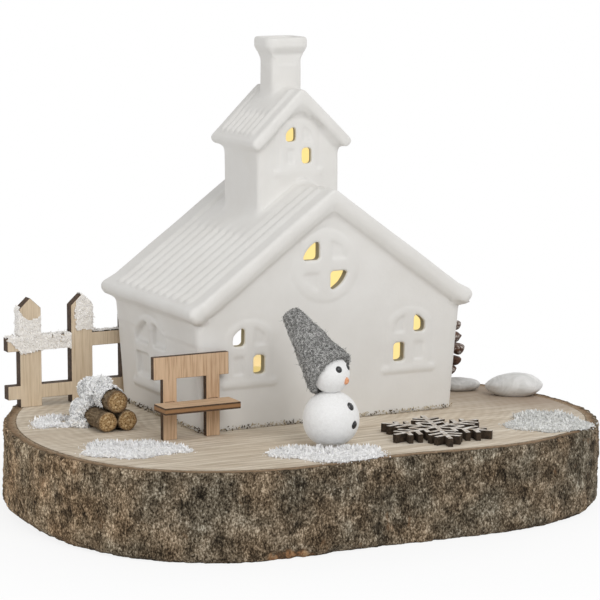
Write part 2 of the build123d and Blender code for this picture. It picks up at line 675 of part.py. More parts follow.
def bench():
    """Back panel and seat, drawn about the bench's middle with the panel's front face on Y = 0."""
    leg = Rectangle(BENCH_LEG, BENCH_HEIGHT, align=(Align.CENTER, Align.MIN))
    legs = [Pos(side * BENCH_LEG_STEP / 2, 0) * leg for side in (-1, 1)]
    board = Pos(0, BENCH_HEIGHT) * Rectangle(BENCH_WIDTH, BENCH_BOARD, align=(Align.CENTER, Align.MAX))
    back = along_y(board + legs, 0, BENCH_PLY)
    mortise = Box(TENON + 2 * TENON_FIT, 4 * BENCH_PLY, BENCH_PLY + 2 * TENON_FIT)
    seat_middle = SEAT_HEIGHT - BENCH_PLY / 2
    seat = Pos(0, -SEAT_DEPTH / 2, seat_middle) * Box(BENCH_WIDTH, SEAT_DEPTH, BENCH_PLY)
    for side in (-1, 1):
        at = Pos(side * BENCH_LEG_STEP / 2, 0, seat_middle)
        back -= at * mortise
        seat += at * Pos(0, BENCH_PLY / 2, 0) * Box(TENON, BENCH_PLY, BENCH_PLY)
    at = ground(-HOUSE_WIDTH / 2 - BENCH_CORNER, -BENCH_GAP - BENCH_PLY)
    return {"bench_back": at * back, "bench_seat": at * seat}


# Logs

def logs():
    right_x = -(HOUSE_WIDTH / 2 + LOG_GAP + LOG_RADIUS)
    pitch = 2 * LOG_RADIUS + LOG_FIT
    reach = LOG_RADIUS + TOP_LOG_RADIUS + LOG_FIT
    top_z = LOG_RADIUS + sqrt(reach ** 2 - (pitch / 2) ** 2)
    places = {
        "log_right": (right_x, LOG_RADIUS, LOG_RADIUS),
        "log_left": (right_x - pitch, LOG_RADIUS, LOG_RADIUS),
        "log_top": (right_x - pitch / 2, top_z, TOP_LOG_RADIUS),
    }
    nodes = {}
    clear = Part()
    for name, (x, z, radius) in places.items():
        at = Pos(x, LOG_FRONT, z)
        nodes[name] = FOOT * at * extrude(Plane.XZ * Circle(radius), -LOG_LENGTH)
        clear += at * extrude(Plane.XZ * Circle(radius + LOG_FIT), -LOG_LENGTH)
    top_x = right_x - pitch / 2
    heap = Part()
    for middle, size in LOG_HEAP_LUMPS:
        heap += Pos(top_x, LOG_FRONT + LOG_HEAP_BACK, 0) * Pos(*middle) * ellipsoid(*size)
    heap -= Pos(top_x, LOG_FRONT, 0) * Box(*(4 * LOG_LENGTH,) * 3, align=HANGING)
    heap -= clear
    nodes["log_snow"] = FOOT * heap.solids().sort_by(SortBy.VOLUME)[-1]
    return nodes


# Snowman

def aim(radius, bearing, rise):
    """A place on a ball's surface, its +Z pointing away from the ball's middle."""
    return Rot(0, 0, bearing) * Rot(0, 90 - rise, 0) * Pos(0, 0, radius)


def snowman():
    body_z = BODY_RADIUS - BALL_FLAT
    neck_z = 2 * BODY_RADIUS - BALL_FLAT - HEAD_SINK / 2
    head_z = neck_z + HEAD_RADIUS - HEAD_SINK / 2
    below = Box(*(8 * BODY_RADIUS,) * 3, align=HANGING)
    above = Box(*(8 * BODY_RADIUS,) * 3, align=STANDING)
    body = Pos(0, 0, body_z) * Sphere(BODY_RADIUS) - below - Pos(0, 0, neck_z) * above
    head = Pos(0, 0, head_z) * Sphere(HEAD_RADIUS) - Pos(0, 0, neck_z) * below

    eye_seat = HEAD_RADIUS - EYE_RADIUS + BEAD_PROUD
    eyes = [
        Pos(0, 0, head_z) * aim(eye_seat, SNOWMAN_FACE + side * EYE_SPREAD, EYE_RISE) * Sphere(EYE_RADIUS)
        for side in (-1, 1)
    ]
    button_seat = BODY_RADIUS - BUTTON_RADIUS + BEAD_PROUD
    buttons = [
        Pos(0, 0, body_z) * aim(button_seat, SNOWMAN_FACE, rise) * Sphere(BUTTON_RADIUS)
        for rise in BUTTON_RISES
    ]
    nose = Pos(0, 0, head_z) * aim(HEAD_RADIUS, SNOWMAN_FACE, NOSE_RISE) * ellipsoid(*NOSE)
    head = head - eyes - nose
    body = body - buttons

    slope = atan((HAT_BRIM - HAT_TIP) / HAT_LENGTH)
    inner_brim = (HEAD_RADIUS + HAT_FIT) / cos(slope)
    inner_length = HAT_LENGTH - HAT_CROWN
    inner_tip = inner_brim - inner_length * tan(slope)
    spread = HAT_SKIRT * tan(slope)
    felt = Cone(HAT_BRIM + spread, HAT_TIP, HAT_LENGTH + HAT_SKIRT, align=STANDING)
    felt -= Cone(inner_brim + spread, inner_tip, inner_length + HAT_SKIRT, align=STANDING)
    hat = Rot(0, 0, HAT_BEARING) * Rot(0, HAT_LEAN, 0) * Pos(0, 0, -HAT_SKIRT) * felt
    hat -= Rot(0, 0, BRIM_BEARING) * Rot(0, BRIM_LEAN, 0) * below
    hat = Pos(0, 0, head_z) * hat - Pos(0, 0, body_z) * Sphere(BODY_RADIUS + HAT_FIT)

    at = ground(*SNOWMAN_AT)
    return {
        "snowman_body": at * body,
        "snowman_head": at * head,
        "snowman_hat": at * hat,
        "snowman_nose": at * nose,
        "snowman_eyes": at * (Part() + eyes),
        "snowman_buttons": at * (Part() + buttons),
    }


# Snowflake

def snowflake():
    bar = Rectangle(FLAKE_RADIUS, FLAKE_BAR, align=(Align.MIN, Align.CENTER))
    arm = Sketch() + bar
    for distance, length in FLAKE_BRANCHES:
        for turn in (-60, 60):
            branch = Rectangle(length, FLAKE_BAR, align=(Align.MIN, Align.CENTER))
            arm += Pos(distance, 0) * Rot(0, 0, turn) * branch
    flake = Sketch() + [Rot(0, 0, FLAKE_TURN + 60 * i) * arm for i in range(6)]
    return {"wooden_snowflake": ground(*FLAKE_AT) * extrude(flake, FLAKE_PLY)}


# Pine cone

def cone_radius(height):
    """Radius of the cone's outline at a share of its height: blunt foot, fullest low down, drawn-in tip."""
    return CONE_RADIUS * (1 - (abs(height - CONE_FULLEST) / CONE_TAPER) ** 2)


def pine_cone():
    """Tapered core with rows of scales, each row turned by half a scale."""
    shares = (0, 0.2, 0.4, 0.65, 0.85, 1)
    outline = [(CONE_CORE * cone_radius(s), s * CONE_HEIGHT) for s in shares]
    cone = revolve(Plane.XZ * polygon((0, 0), *outline, (0, CONE_HEIGHT)), Axis.Z)
    petals = []
    for row in range(CONE_ROWS):
        share = (row + 0.35) / (CONE_ROWS + 0.6)
        low = share * CONE_HEIGHT
        reach = cone_radius(share + 0.08)
        root = CONE_CORE * cone_radius(share) / 2
        lift = CONE_HEIGHT / CONE_ROWS * 0.6
        section = polygon(
            (root, low), (reach, low + lift), (reach, low + lift + 2 * SCALE_THICKNESS),
            (root, low + SCALE_THICKNESS))
        width = SCALE_WIDTH * (0.45 + 0.55 * reach / CONE_RADIUS)
        petal = along_y(section, -width / 2, width / 2)
        petals += [Rot(0, 0, (i + row / 2) * 360 / CONE_SCALES) * petal for i in range(CONE_SCALES)]
    middle = Pos(HOUSE_WIDTH / 2 + CONE_GAP + CONE_RADIUS, CONE_Y, 0)
    return {"pine_cone": FOOT * middle * (cone + petals)}


# Stones and snow

def stone(size, turn, place):
    length, width, height = size
    floor = Box(2 * length, 2 * length, height, align=HANGING)
    body = Pos(0, 0, height * (0.5 - STONE_FLAT)) * ellipsoid(*size) - floor
    return ground(*place) * Rot(0, 0, turn) * body


def stones():
    return {
        "pebble_large": stone(PEBBLE, PEBBLE_TURN, PEBBLE_AT),
        "pebble_small": stone(SMALL_PEBBLE, SMALL_PEBBLE_TURN, SMALL_PEBBLE_AT),
    }


def snow_patch(radii, turn, seed):
    """Flat drift with a wavy edge."""
    points = []
    for i in range(SNOW_POINTS):
        angle = radians(i * 360 / SNOW_POINTS)
        wave = 1 + sum(share * sin(count * angle + count * seed) for count, share in SNOW_WAVES)
        points.append((radii[0] * wave * cos(angle), radii[1] * wave * sin(angle)))
    return Rot(0, 0, turn) * extrude(make_face(Spline(*points, periodic=True)), SNOW_THICKNESS)


def snow_patches(standing):
    """Drifts on the sawn face, kept clear of the foot of everything that stands in them."""
    nodes = {}
    for name, (place, radii, turn, seed) in SNOW_PATCHES.items():
        drift = ground(*place) * snow_patch(radii, turn, seed)
        for part in standing:
            box = part.bounding_box()
            reach = Pos(box.center().X, box.center().Y, SLICE_THICKNESS) * Box(
                box.size.X + 2 * SNOW_CLEARANCE, box.size.Y + 2 * SNOW_CLEARANCE, 4 * SNOW_THICKNESS)
            drift -= reach
        nodes[name] = drift.solids().sort_by(SortBy.VOLUME)[-1]
    return nodes


def all_nodes():
    nodes = {}
    house_set = (tree_slice, ceramic_house, tea_light)
    winter_set = (picket_fence, bench, logs, snowman, snowflake, pine_cone, stones)
    for make in house_set + winter_set:
        nodes.update(make())
    ball_foot = sqrt(2 * BODY_RADIUS * (SNOW_THICKNESS + BALL_FLAT))
    snowman_foot = ground(*SNOWMAN_AT) * Cylinder(ball_foot, SNOW_THICKNESS)
    nodes.update(snow_patches([snowman_foot, nodes["log_left"], nodes["log_snow"]]))
    return nodes


if __name__ == "__main__":
    os.makedirs("parts", exist_ok=True)
    for node, part in all_nodes().items():
        export_step(part, f"parts/{node}.step")
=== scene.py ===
from contextlib import contextmanager
from math import atan2, cos, pi, radians, sin, sqrt, tan

import bmesh
import bpy
import numpy as np
from mathutils import Euler, Matrix, Vector, noise
from mathutils.bvhtree import BVHTree


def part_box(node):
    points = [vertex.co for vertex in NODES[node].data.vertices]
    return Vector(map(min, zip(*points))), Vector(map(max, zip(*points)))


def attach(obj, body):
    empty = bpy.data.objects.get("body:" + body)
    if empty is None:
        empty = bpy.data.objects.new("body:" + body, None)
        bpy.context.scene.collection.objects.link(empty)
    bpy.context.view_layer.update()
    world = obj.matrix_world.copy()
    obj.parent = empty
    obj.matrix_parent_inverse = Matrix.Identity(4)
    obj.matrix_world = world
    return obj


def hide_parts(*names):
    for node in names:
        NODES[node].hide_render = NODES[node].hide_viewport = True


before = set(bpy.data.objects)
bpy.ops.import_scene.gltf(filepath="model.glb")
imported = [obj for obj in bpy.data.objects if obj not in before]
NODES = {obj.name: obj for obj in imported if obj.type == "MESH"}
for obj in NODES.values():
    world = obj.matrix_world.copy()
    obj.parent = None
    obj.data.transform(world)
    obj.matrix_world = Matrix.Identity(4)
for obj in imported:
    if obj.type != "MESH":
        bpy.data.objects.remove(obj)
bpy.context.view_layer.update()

MM = 0.001
LIE = radians(27)  # how far the saw marks, the pebbles and the bark's paler side lie turned from the X axis
AWAY = (0.46, 0.89)  # over the ground, straight away from the viewer

# House: the sizes that its casting is softened and lit by
HOUSE_AT = (7.4 * MM, -21.4 * MM, 29.7 * MM)
HOUSE_WIDTH = 102.6 * MM
HOUSE_DEPTH = 72.0 * MM
WALL = 4.0 * MM
WALL_HEIGHT = 39.5 * MM
WALL_FLARE = 2.0 * MM
ROOF_SLOPE = tan(radians(36))
ROOF_THICKNESS = 4.5 * MM
TOWER_AT = (-1.2 * MM, 22.5 * MM)
TOWER_WIDTH = 32.0 * MM
TOWER_DEPTH = 28.3 * MM
TOWER_WALL = 2.6 * MM
TOWER_WALL_HEIGHT = 94.7 * MM
TOWER_SLOPE = tan(radians(44))
TOWER_ROOF_THICKNESS = 4.0 * MM
TOWER_PANES = (8.5 * MM, 104.5 * MM)  # half their width, and their top
CHIMNEY = (12.1 * MM, 11.0 * MM)  # along X and Y
CAP_FLARE = (126.0 * MM, 129.2 * MM)  # where it starts and ends
CASTING_GRAIN = 0.65 * MM
CASTING_SOFTENING = 6
CASTING_WAVE = 0.16 * MM
CASTING_FACES = 185000
COVE_ROUNDS = 420
COVE_REACH = 9.0  # millimetres below a roof
CORNER = 1.5 * MM  # how far a rounded corner blurs the edge of a face
RELIEF = 0.5  # how much of the front relief is left
SIDE_SWELL = 1.1 * MM
EAVE_SWELL = 1.0 * MM
VERGE = 3.2 * MM
VERGE_FILL = 1.8 * MM
FOOT_STRIP = 1.2 * MM
FOOT_STEP = 0.8 * MM

# Bark
BARK_AROUND = 1200
BARK_UP = 58
BARK_EDGE = 1.6 * MM
BARK_DROP = 0.15 * MM
BARK_LEAST = 0.15 * MM
BARK_CHIP_AT = (-0.039, -0.0815, 0.0005)
BARK_CHIP_SIZE = (8.5 * MM, 3.0 * MM)  # half its width and height
BARK_WORN = (  # how much of the lower edge is worn away, in millimetres, by bearing
    (0, 1.0), (159, 2.0), (179, 3.5), (193, 3.5), (204, 2.8), (216, 1.6), (227, 0.8), (235, 0.3), (246, 1.2),
    (255, 3.2), (264, 1.0), (279, 0.2), (292, 1.2), (299, 1.8), (317, 2.0), (328, 2.2), (360, 1.0))

# Fence: where snow clings to it, in millimetres from its first picket's left edge and foot
PICKET = 8.2
PICKET_STEP = 19.8
RAIL = 20.5
RAIL_TOP = 25.5
RAIL_END = 4.7
EDGE_SNOW = (26.0, 37.0)  # foot and top of the snow on the first picket's left edge
FIRST_SNOW = (4.8, 19.4, 31.6)  # the dip in the snow on the first picket, its foot and its top there
SECOND_SNOW = 26.5
NO_SNOW = -9.0

# Twigs: the bare length of each at its front end, in millimetres, and the fineness of their meshes
BARE_TWIG = {"log_left": 13.0, "log_right": 99.0, "log_top": 4.5}
TWIG_AROUND = 96
TWIG_ALONG = 54
TWIG_RINGS = 7

# Snow heap on the logs, measured from the upper log's axis and the ground
HEAP_RIGHT = 2.5 * MM
HEAP_FOOT = -11.6 * MM
HEAP_RISE = 0.767
HEAP_SKEW = 0.56
HEAP_TOP = 15.3 * MM

# Drifts
DRIFT_STEP = 0.5 * MM
DRIFT_MARGIN = 3.0 * MM
DRIFT_SLOPE = 2.5 * MM
DRIFT_STRAYS = 2.2 * MM
DRIFT_HEIGHT = 0.9 * MM

# Snowman
BALL_FLAT = 0.5 * MM
HAT_LENGTH = 26.5 * MM
HAT_BRIM = 9.2 * MM
HAT_TIP = 3.5 * MM
HAT_FELT = 2.7 * MM
HAT_LEAN = radians(45)
HAT_BEARING = radians(109)
BRIM_LEAN = radians(56)
BRIM_BEARING = radians(111)
HAT_AROUND = 110
HAT_UP = 46

# Pine cone and pebbles
CONE_SCALES = 30
CONE_TURN = radians(-85)
CONE_SPIRAL = radians(137.508)
CONE_DROOP = (radians(44), radians(36))  # at its foot, and how much less at its tip
CONE_CORE = 0.46  # its half height, as a share of the cone
SCALE_ROWS = 8
SCALE_ACROSS = 5
PEBBLE_RISE = 0.44  # height of its widest part, as a share of its own

# Plywood colours
TAN = (0.68, 0.56, 0.415)
TAN_STREAK = (0.54, 0.42, 0.28)
PINK = (0.59, 0.42, 0.275)
PINK_STREAK = (0.38, 0.235, 0.135)
BURNT = (0.06, 0.035, 0.02)
SEAT_CORE = (0.29, 0.155, 0.07)

# Light: each lamp's name, place, size and power
SKY = 0.5
LAMP_AIM = Vector((0, 0, 0.06))
LAMPS = (
    ("key", (0.05, -1.15, 1.0), 0.9, 9.9),
    ("side", (-1.2, -0.3, 0.45), 0.8, 3.0),
    ("fill", (1.0, 0.4, 0.6), 0.9, 2.0))
FLOOR_HALF = 3.0
FLOOR_FADE = (0.10, 0.20)
FLOOR_GLOW = 0.85

# Camera
CAMERA_AT = (-0.3936, -0.7798, 0.2058)
CAMERA_PITCH = 81.18
CAMERA_HEADING = -27.14
CAMERA_LENS = 150.0
CAMERA_SENSOR = 36.0


# Meshes

def new_piece(name, data):
    piece = bpy.data.objects.new(name, data)
    bpy.context.scene.collection.objects.link(piece)
    return piece


def mesh_of(name, points, faces, smooth=True):
    mesh = bpy.data.meshes.new(name)
    mesh.from_pydata([tuple(p) for p in points], [], [tuple(f) for f in faces])
    mesh.update()
    if smooth:
        mesh.shade_smooth()
    return mesh


@contextmanager
def opened(mesh):
    """A mesh opened for editing, and written back afterwards."""
    shape = bmesh.new()
    shape.from_mesh(mesh)
    yield shape
    shape.to_mesh(mesh)
    shape.free()


def joined_copy(node, name):
    """A copy of a node's mesh with its loose triangles joined."""
    mesh = NODES[node].data.copy()
    mesh.name = name
    with opened(mesh) as shape:
        bmesh.ops.remove_doubles(shape, verts=shape.verts, dist=0.001 * MM)
    mesh.materials.clear()
    return mesh


def made_plain(piece):
    """Turns a piece with modifiers into a plain mesh."""
    bpy.context.view_layer.update()
    graph = bpy.context.evaluated_depsgraph_get()
    mesh = bpy.data.meshes.new_from_object(piece.evaluated_get(graph), depsgraph=graph)
    piece.modifiers.clear()
    piece.data = mesh
    return piece


def recast(name, node, grain, settling=0):
    """A node's shape cast anew in small even faces, its edges settled by some rounds of smoothing."""
    piece = new_piece(name, joined_copy(node, name))
    cast = piece.modifiers.new("cast", "REMESH")
    cast.mode = "VOXEL"
    cast.voxel_size = grain
    if settling:
        settle = piece.modifiers.new("settle", "SMOOTH")
        settle.factor = 0.5
        settle.iterations = settling
    return made_plain(piece)


def dress(piece, body, slot, *nodes):
    """Puts a finished piece on its body and in place of its nodes; the slot is not used."""
    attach(piece, body)
    if nodes:
        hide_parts(*nodes)
    return piece


def paint(piece, *materials):
    piece.data.materials.clear()
    for material in materials:
        piece.data.materials.append(material)


def mark(mesh, name, values):
    """Gives each point of a mesh a number that its finish reads."""
    mesh.attributes.new(name, "FLOAT", "POINT").data.foreach_set("value", values)


def middle_of(node):
    low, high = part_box(node)
    return (low + high) / 2, high - low


def grit(point, size):
    """Signed noise at one scale."""
    return noise.noise(Vector(point) / size)


def ring_faces(around, along, closed=False, tip=None):
    """Quads between the sections round a piece, which may close on themselves or end in a common tip."""
    for i in range(around):
        here = i * along
        there = (i + 1) % around * along
        for j in range(along if closed else along - 1):
            m = (j + 1) % along
            yield here + j, there + j, there + m, here + m
        if tip:
            yield here + along - 1, there + along - 1, tip


# Shader and geometry nodes

class Value:
    """An output of a node that does sums by adding nodes to its tree."""

    def __init__(self, wiring, socket):
        self.wiring = wiring
        self.socket = socket

    def __add__(self, other):
        return self.wiring.math("ADD", self, other)

    def __sub__(self, other):
        return self.wiring.math("SUBTRACT", self, other)

    def __rsub__(self, other):
        return self.wiring.math("SUBTRACT", other, self)

    def __mul__(self, other):
        return self.wiring.math("MULTIPLY", self, other)

    def __abs__(self):
        return self.wiring.math("ABSOLUTE", self)


class Wiring:
    """Makes the nodes of one tree and wires them."""

    def __init__(self, tree):
        self.tree = tree

    def feed(self, target, value):
        if isinstance(value, Value):
            value = value.socket
        if isinstance(value, bpy.types.NodeSocket):
            self.tree.links.new(value, target)
        else:
            target.default_value = value

    def node(self, kind, inputs=None, **settings):
        """A new node with its settings, and its inputs by name or number."""
        made = self.tree.nodes.new(kind)
        for key, value in settings.items():
            setattr(made, key, value)
        for key, value in (inputs or {}).items():
            self.feed(made.inputs[key], value)
        return made

    def value(self, kind, inputs=None, output=0, **settings):
        """One output of a new node."""
        return Value(self, self.node(kind, inputs, **settings).outputs[output])

    def math(self, operation, first, second=0.0):
        return self.value("ShaderNodeMath", {0: first, 1: second}, operation=operation)

    def vector_math(self, operation, first, second):
        return self.value("ShaderNodeVectorMath", {0: first, 1: second}, operation=operation)

    def vector(self, x, y, z):
        return self.value("ShaderNodeCombineXYZ", {"X": x, "Y": y, "Z": z})

    def length(self, vector):
        return self.value("ShaderNodeVectorMath", {0: vector}, "Value", operation="LENGTH")


# Materials

class Finish(Wiring):
    """A Principled material whose patterns read Object coordinates in millimetres."""

    def __init__(self, name, roughness, specular):
        self.material = bpy.data.materials.new(name)
        self.material.use_nodes = True
        super().__init__(self.material.node_tree)
        self.shader = self.tree.nodes["Principled BSDF"]
        self.set("Roughness", roughness)
        self.set("Specular IOR Level", specular)
        self.coordinates = self.node("ShaderNodeTexCoord").outputs

    def set(self, socket, value):
        self.feed(self.shader.inputs[socket], value)

    def place(self, at=(0, 0, 0), turn=0.0, stretch=(1, 1, 1)):
        """Millimetres from a point, turned about the upright axis, and stretched along the axes."""
        shift = self.vector_math("SUBTRACT", self.coordinates["Object"], at)
        scale = [1 / (MM * s) for s in stretch]
        return self.value("ShaderNodeMapping", {"Vector": shift, "Rotation": (0, 0, turn), "Scale": scale})

    def noise(self, size, detail=3.0, rough=0.55, warp=0.0, where=None):
        inputs = {"Scale": 1 / size, "Detail": detail, "Roughness": rough, "Distortion": warp}
        inputs["Vector"] = where or self.place()
        return self.value("ShaderNodeTexNoise", inputs, "Fac")

    def cells(self, size):
        return self.value("ShaderNodeTexVoronoi", {"Scale": 1 / size, "Vector": self.place()}, "Distance")

    def part(self, vector, axis):
        return self.value("ShaderNodeSeparateXYZ", {0: vector}, axis)

    def normal(self, axis):
        return self.part(self.coordinates["Normal"], axis)

    def band(self, value, low, high):
        """0 below low, 1 above high."""
        inputs = {"Value": value, "From Min": low, "From Max": high}
        return self.value("ShaderNodeMapRange", inputs, "Result")

    def ramp(self, value, *stops):
        """Colours along a value, given as (place, colour)."""
        made = self.node("ShaderNodeValToRGB", {"Fac": value})
        points = made.color_ramp.elements
        while len(points) < len(stops):
            points.new(0.5)
        for point, (at, colour) in zip(points, stops):
            point.position = at
            point.color = (*colour, 1)
        return Value(self, made.outputs["Color"])

    def mix(self, share, first, second, mode="MIX"):
        inputs = {"Factor": share}
        for socket, colour in ((6, first), (7, second)):
            inputs[socket] = (*colour, 1) if isinstance(colour, tuple) else colour
        return self.value("ShaderNodeMix", inputs, 2, data_type="RGBA", blend_type=mode)

    def tinted(self, colour, tint):
        return self.mix(1.0, colour, tint, "MULTIPLY")

    def attribute(self, name):
        return self.value("ShaderNodeAttribute", output="Fac", attribute_name=name)

    def bump(self, height, depth):
        """Relief of a depth in millimetres, laid over any relief already there."""
        inputs = {"Strength": 1.0, "Distance": depth * MM, "Height": height}
        below = self.shader.inputs["Normal"].links
        if below:
            inputs["Normal"] = below[0].from_socket
        self.set("Normal", self.value("ShaderNodeBump", inputs, "Normal"))

    def speckle(self, grain, dark, pale, relief=0.0, start=0.3):
        """Two colours along a grain, with its relief in millimetres."""
        self.set("Base Color", self.ramp(grain, (start, dark), (0.7, pale)))
        if relief:
            self.bump(grain, relief)
        return self.material

    def glow(self, colour, strength):
        self.set("Emission Color", colour)
        self.set("Emission Strength", strength)

    def soften(self, radius):
        """Lets light some way into the surface."""
        self.set("Subsurface Weight", 0.2)
        self.set("Subsurface Radius", radius)


def ceramic():
    """Matt white bisque: faint clouding, pin-prick pores, a sanded grain, and shade in the pierced panes."""
    finish = Finish("bisque", 0.62, 0.3)
    skin = finish.ramp(finish.noise(14.0), (0.3, (0.715, 0.698, 0.668)), (0.7, (0.755, 0.742, 0.716)))
    spot = finish.place(at=HOUSE_AT)
    aside = abs(finish.part(spot, "X"))
    deep = finish.part(spot, "Y")
    up = finish.part(spot, "Z")
    # Masks of the reveals of the pierced panes in the gable and the tower, which are given painted shade
    behind_gable = deep - finish.band(up, WALL_HEIGHT / MM, 0) * (WALL_FLARE / MM)
    ridge = (WALL_HEIGHT + HOUSE_WIDTH / 2 * ROOF_SLOPE) / MM
    under_roof = finish.band(aside * ROOF_SLOPE + up, ridge - 2, ridge - 3)
    gable = finish.band(behind_gable, 0.5, 1.0) * finish.band(behind_gable, 5.2, 4.6)
    gable = gable * (under_roof * finish.band(aside, 47.0, 46.0))
    behind_tower = deep - TOWER_AT[1] / MM
    tower = finish.band(behind_tower, 0.4, 0.9) * finish.band(behind_tower, 3.6, 3.0)
    high = finish.band(up, 80.0, 81.0) * finish.band(up, 105.0, 104.0)
    tower = tower * (high * finish.band(aside, 10.0, 9.0))
    # painted shade: the reveals of the pierced panes are coloured dark grey (0.27, 0.26, 0.235)
    finish.set("Base Color", finish.mix(finish.math("MAXIMUM", gable, tower), skin, (0.27, 0.26, 0.235)))
    finish.bump(finish.noise(1.1, 4.0, 0.6), 0.04)
    finish.bump(finish.band(finish.cells(3.2), 0.0, 0.06), 0.05)
    return finish.material


def ceramic_inside_painted_glow():
    """The same bisque inside, with a painted warm glow in place of the tealight's light: brightest near the
    flame.
    """
    finish = Finish("bisque_lit_inside", 0.8, 0.1)
    flame, _ = middle_of("tealight_flame")
    away = finish.length(finish.place(at=flame))
    painted_glow_colour = finish.ramp(finish.band(away, 15, 110), (0.0, (0.96, 0.80, 0.37)), (1.0, (0.90, 0.70, 0.27)))
    # painted light: the inner faces glow as if lit by the tealight, brightest near the flame
    finish.glow(painted_glow_colour, 0.9)
    return finish.speckle(finish.noise(9.0, 2.0), (0.20, 0.16, 0.09), (0.26, 0.22, 0.13))


def sawn_wood(pith):
    """Pale sawn end grain: rings that follow the slice's outline, saw marks, brown at the back and right."""
    finish = Finish("sawn_end_grain", 0.78, 0.2)
    flat = finish.place(at=pith, stretch=(1.2, 1, 8))
    wavy = finish.length(flat) + finish.noise(24.0, where=flat) * 11.0
    fine = finish.math("SINE", wavy * (2 * pi / 2.7))
    broad = finish.math("SINE", wavy * (2 * pi / 10.0))
    rings = finish.band(fine * 0.55 + broad * 0.35, -0.9, 0.9)
    tone = finish.ramp(rings, (0.0, (0.545, 0.462, 0.358)), (1.0, (0.715, 0.638, 0.525)))
    stain = finish.noise(34.0, 4.0, 0.6)
    tone = finish.mix(finish.band(stain, 0.42, 0.68) * 0.7, tone, (0.52, 0.43, 0.325))
    saw = finish.noise(1.0, 3.0, 0.6, where=finish.place(turn=LIE, stretch=(26.0, 0.9, 1)))
    tone = finish.mix(finish.band(saw, 0.5, 0.64) * 0.75, tone, (0.40, 0.32, 0.23))
    pale = finish.noise(1.0, 2.0, where=finish.place(at=(0.01, 0.02, 0), turn=LIE, stretch=(34.0, 1.7, 1)))
    tone = finish.mix(finish.band(pale, 0.5, 0.66) * 0.65, tone, (0.79, 0.725, 0.62))
    pores = finish.noise(0.7, 2.0)
    tone = finish.mix(finish.band(pores, 0.58, 0.75) * 0.35, tone, (0.385, 0.305, 0.215))
    turned = finish.place(turn=LIE)
    right = finish.part(turned, "X")
    back = finish.part(turned, "Y")
    tone = finish.mix(finish.band(back + right * 0.25, 8, 54) * 0.75, tone, (0.34, 0.265, 0.20))
    brown = finish.band(right, 64, 90) * finish.band(back, 2, 20)
    finish.set("Base Color", finish.mix(brown * 0.6, tone, (0.33, 0.25, 0.19)))
    finish.bump(saw, 0.12)
    finish.bump(pores, 0.05)
    return finish.material


def bark():
    """Bark in brown strands with dark pits and beige grains, paler on the left, brown where it is sawn."""
    finish = Finish("bark", 0.92, 0.15)
    upright = finish.place(stretch=(1, 1, 1.7))
    speck = finish.noise(0.55, 2.0, 0.7, where=upright)
    blotch = finish.noise(1.9, 3.0, 0.6, 0.4, where=upright)
    patch = finish.noise(8.0, 3.0, 0.55, 0.6)
    level = speck * 0.5 + blotch * 0.26 + patch * 0.24
    skin = finish.ramp(
        level, (0.395, (0.018, 0.013, 0.008)), (0.46, (0.075, 0.058, 0.039)), (0.51, (0.15, 0.121, 0.086)),
        (0.56, (0.27, 0.226, 0.168)), (0.63, (0.56, 0.50, 0.41)))
    pits = finish.cells(7.0) + (blotch - 0.5) * 0.7
    pitted = finish.noise(15.0, 2.0, where=finish.place(at=(0.05, 0.01, 0.02)))
    dark = finish.band(pits, 0.36, 0.2) * finish.band(pitted, 0.44, 0.54)
    skin = finish.mix(dark * 0.75, skin, finish.tinted(skin, (0.34, 0.33, 0.31)))
    grains = finish.band(finish.cells(2.1), 0.2, 0.1) * finish.band(patch, 0.46, 0.56)
    skin = finish.mix(grains * 0.8, skin, (0.50, 0.44, 0.35))
    tint = finish.band(finish.noise(17.0, 3.0, 0.5), 0.38, 0.62)
    skin = finish.mix(tint, finish.tinted(skin, (1.08, 0.97, 0.86)), finish.tinted(skin, (0.88, 0.9, 0.89)))
    left = finish.band(finish.part(finish.place(turn=LIE), "X"), -35, -92)
    skin = finish.mix(left, skin, finish.tinted(skin, (1.65, 1.5, 1.34)))
    rust = finish.noise(5.0, 3.0, 0.6, where=finish.place(at=(0.03, 0.02, 0.04), stretch=(1, 1, 1.6)))
    skin = finish.mix(finish.band(rust, 0.65, 0.74) * 0.45, skin, (0.24, 0.135, 0.07))
    depth = finish.attribute("bark_depth")
    layers = finish.ramp(
        depth + (blotch - 0.5), (0.1, (0.11, 0.075, 0.046)), (0.4, (0.28, 0.185, 0.108)),
        (0.7, (0.33, 0.235, 0.15)), (0.88, (0.42, 0.33, 0.225)), (1.0, (0.2, 0.135, 0.085)))
    layers = finish.mix(finish.band(speck, 0.5, 0.64) * 0.5, layers, (0.06, 0.042, 0.027))
    skin = finish.mix(finish.band(depth, 0.05, 0.2), skin, layers)
    inner = finish.ramp(
        blotch, (0.4, (0.10, 0.062, 0.036)), (0.52, (0.33, 0.17, 0.08)), (0.62, (0.45, 0.30, 0.17)))
    finish.set("Base Color", finish.mix(finish.attribute("bark_chip"), skin, inner))
    finish.bump(speck, 0.35)
    finish.bump(blotch, 0.5)
    finish.bump(dark, -0.5)
    return finish.material


